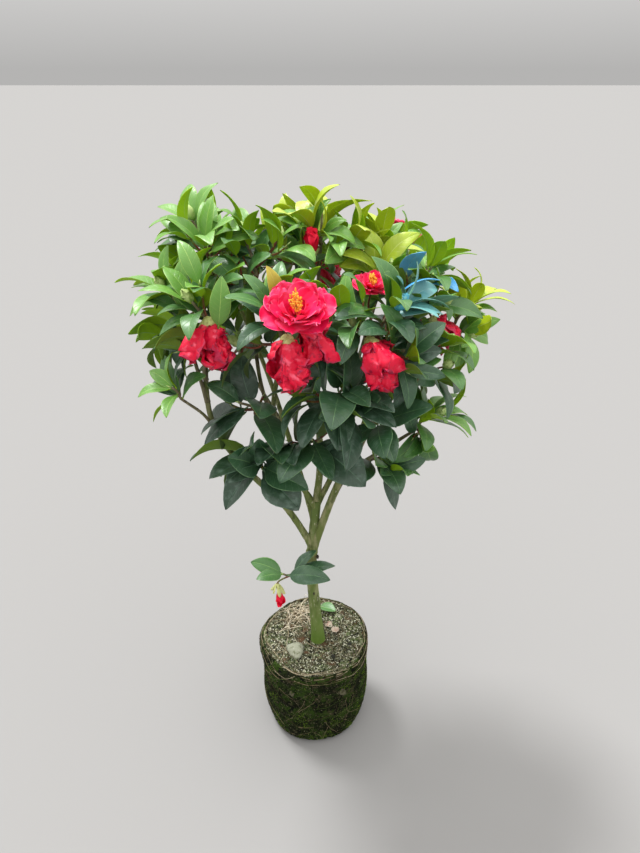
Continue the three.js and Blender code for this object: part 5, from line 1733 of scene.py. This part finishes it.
def dress_roots(rng):
    """Fine roots over the side, the rim and the top, and a pale dry tangle behind the trunk."""
    roots = Shape()

    def strand(path, thickness, paints):
        """Adds a strand of a thickness from a range, in one of the paints."""
        radius = rng.uniform(*thickness)
        tube(roots, path, lambda share: radius * (1 - 0.6 * share), 5, 0.005, None, int(rng.choice(paints)))

    for _ in range(SIDE_ROOTS):
        share = rng.uniform(FOOT_SHARE + 0.05, RIM_SHARE)
        heading = rng.choice([-1.57, 0, 3.14, 1.57], p=[0.45, 0.2, 0.2, 0.15]) + rng.normal(0, 0.4)
        path = creeping_root(rng, share, rng.uniform(0, 6.28), heading, rng.uniform(0.03, 0.12),
                             FOOT_SHARE + 0.02, RIM_SHARE, 0.001, 0.16)
        strand(path, (0.0002, 0.0005), [1, 1, 2, 2, 3, 3])
    for _ in range(TOP_ROOTS):
        share = rng.uniform(RIM_SHARE + 0.01, 0.94)
        path = creeping_root(rng, share, rng.uniform(0, 6.28), rng.uniform(0, 6.28),
                             rng.uniform(0.015, 0.06), RIM_SHARE + 0.005, 0.97, 0.0014, 0.16)
        strand(path, (0.0002, 0.0004), [0, 1, 1, 2])
    for _ in range(RIM_ROOTS):
        share = RIM_SHARE + rng.uniform(-0.04, 0.006)
        heading = rng.choice([0.0, math.pi]) + rng.normal(0, 0.05)
        path = creeping_root(rng, share, rng.uniform(0, 6.28), heading, rng.uniform(0.06, 0.22),
                             RIM_SHARE - 0.045, RIM_SHARE + 0.012, 0.0017, 0.05)
        strand(path, (0.0003, 0.0006), [0, 1, 2, 3])
    for points, radius in LAID_ROOTS:
        tube(roots, through(points), lambda share: radius * (1 - 0.6 * share), 5, 0.005)
    for _ in range(TANGLE_ROOTS):
        start = TANGLE_PLACE + rng.normal(0, 0.45, 3) * TANGLE_REACH * [1, 1.3, 0]
        stop = start + rng.normal(0, 0.8, 3) * TANGLE_REACH * [1, 1, 0]
        lift = rng.uniform(0.002, 0.012) * UP
        path = through([start, mix(start, stop, 0.35) + lift, mix(start, stop, 0.7) + 0.8 * lift, stop])
        if norm(path.places[:, :2], axis=1).max() < BALL_TOP_RADIUS - 0.004:
            strand(path, (0.0003, 0.0007), [4, 4, 4, 0, 1])
    materials = [
        surface(f"root_{name}", base, (shade, 0.006, 0.5, 0.65), rough=rough, gloss=gloss)
        for name, base, shade, rough, gloss in ROOT_TONES
    ]
    roots.piece("roots", materials, "root_ball")


def dress_litter(rng):
    """A fallen leaf and a dry petal that lie on the ball behind and beside the trunk."""
    level = unit(np.array([0.88, -0.4, 0.12]))
    face = unit(UP - level * level[2])
    leaf = dict(base=FALLEN_LEAF - 0.022 * level, along=level, face=face, left=np.cross(face, level),
                size=0.046, age=0.5, breadth=0.66)
    litter = Shape()
    shape_blades(litter, [leaf], rng)
    litter.piece("fallen_leaf", leaf_materials("middle"), "foliage")
    dry = Shape()
    petals(dry, FALLEN_PETAL, UP, rng, 2, 0.018, 0.018, (86, 92), cup=0.12, ruffle=0.1, crumple=0.0015,
           turn=0.4)
    dry.piece("dry_petal", [
        surface("dry_petal", "#9c8e7e", ("#8a6458", 0.006, 0.48, 0.7), ("#b0ab94", 0.004, 0.52, 0.7),
                rough=0.8),
    ], "foliage")


def dress_ball():
    """The root ball: clods and moss under roots, grit and a few stones."""
    rng = np.random.default_rng(33)
    dress_soil()
    dress_moss(rng)
    dress_grit(rng)
    dress_roots(rng)
    dress_litter(rng)


# The photograph's camera: its focal length in pixels of the 853-pixel side, and its pitch down
CAMERA_FOCAL = 620
CAMERA_PITCH = 30
CAMERA_PLACE = (0.011, -0.918, 1.25)
PICTURE_HEIGHT = 853
FLOOR_COLOUR = "#908f8e"
FLOOR_REACH = 60
# Light: an overcast sky that brightens towards its zenith, and a soft sun high behind the plant
SKY_COLOUR = (1.0, 0.99, 0.975, 1)
HORIZON_GLOW = 0.46
ZENITH_GLOW = 2.15
SUN_POWER = 2.9
SUN_SPREAD = 14
SUN_FROM = (-0.35, 0.3, 1.0)


def lay_floor():
    """A plain pale floor."""
    mesh = bpy.data.meshes.new("floor")
    corners = [(x * FLOOR_REACH, y * FLOOR_REACH, 0) for x, y in ((-1, -1), (1, -1), (1, 1), (-1, 1))]
    mesh.from_pydata(corners, [], [(0, 1, 2, 3)])
    mesh.materials.append(surface("floor_plain", FLOOR_COLOUR, rough=1.0, gloss=0.0))
    put_in_scene("floor", mesh)


def light_scene(scene):
    """A soft sky and a soft sun."""
    scene.view_settings.view_transform = "Standard"
    scene.world = bpy.data.worlds.new("sky")
    nodes = Nodes(scene.world)
    outlook = nodes.add("TexCoord", {}, "Generated")
    height = nodes.add("SeparateXYZ", {"Vector": outlook}, "Z")
    glow = nodes.add("MapRange", {"To Min": HORIZON_GLOW, "To Max": ZENITH_GLOW, "Value": height}, "Result")
    sky = nodes.nodes["Background"]
    sky.inputs["Color"].default_value = SKY_COLOUR
    nodes.feed(glow, sky.inputs["Strength"])
    light = bpy.data.lights.new("sun", "SUN")
    light.energy = SUN_POWER
    light.angle = math.radians(SUN_SPREAD)
    sun = put_in_scene("sun", light)
    sun.rotation_euler = Vector(SUN_FROM).to_track_quat("Z", "Y").to_euler()


def set_camera(scene):
    """The camera, where the photograph was taken."""
    camera = bpy.data.cameras.new("camera")
    camera.sensor_width = 36
    camera.lens = camera.sensor_width * CAMERA_FOCAL / PICTURE_HEIGHT
    scene.camera = put_in_scene("camera", camera)
    scene.camera.location = CAMERA_PLACE
    scene.camera.rotation_euler = (math.radians(90 - CAMERA_PITCH), 0, 0)


plant = grow()
dress_foliage(plant)
dress_wood(plant)
dress_blooms(plant)
dress_ball()
lay_floor()
light_scene(bpy.context.scene)
set_camera(bpy.context.scene)
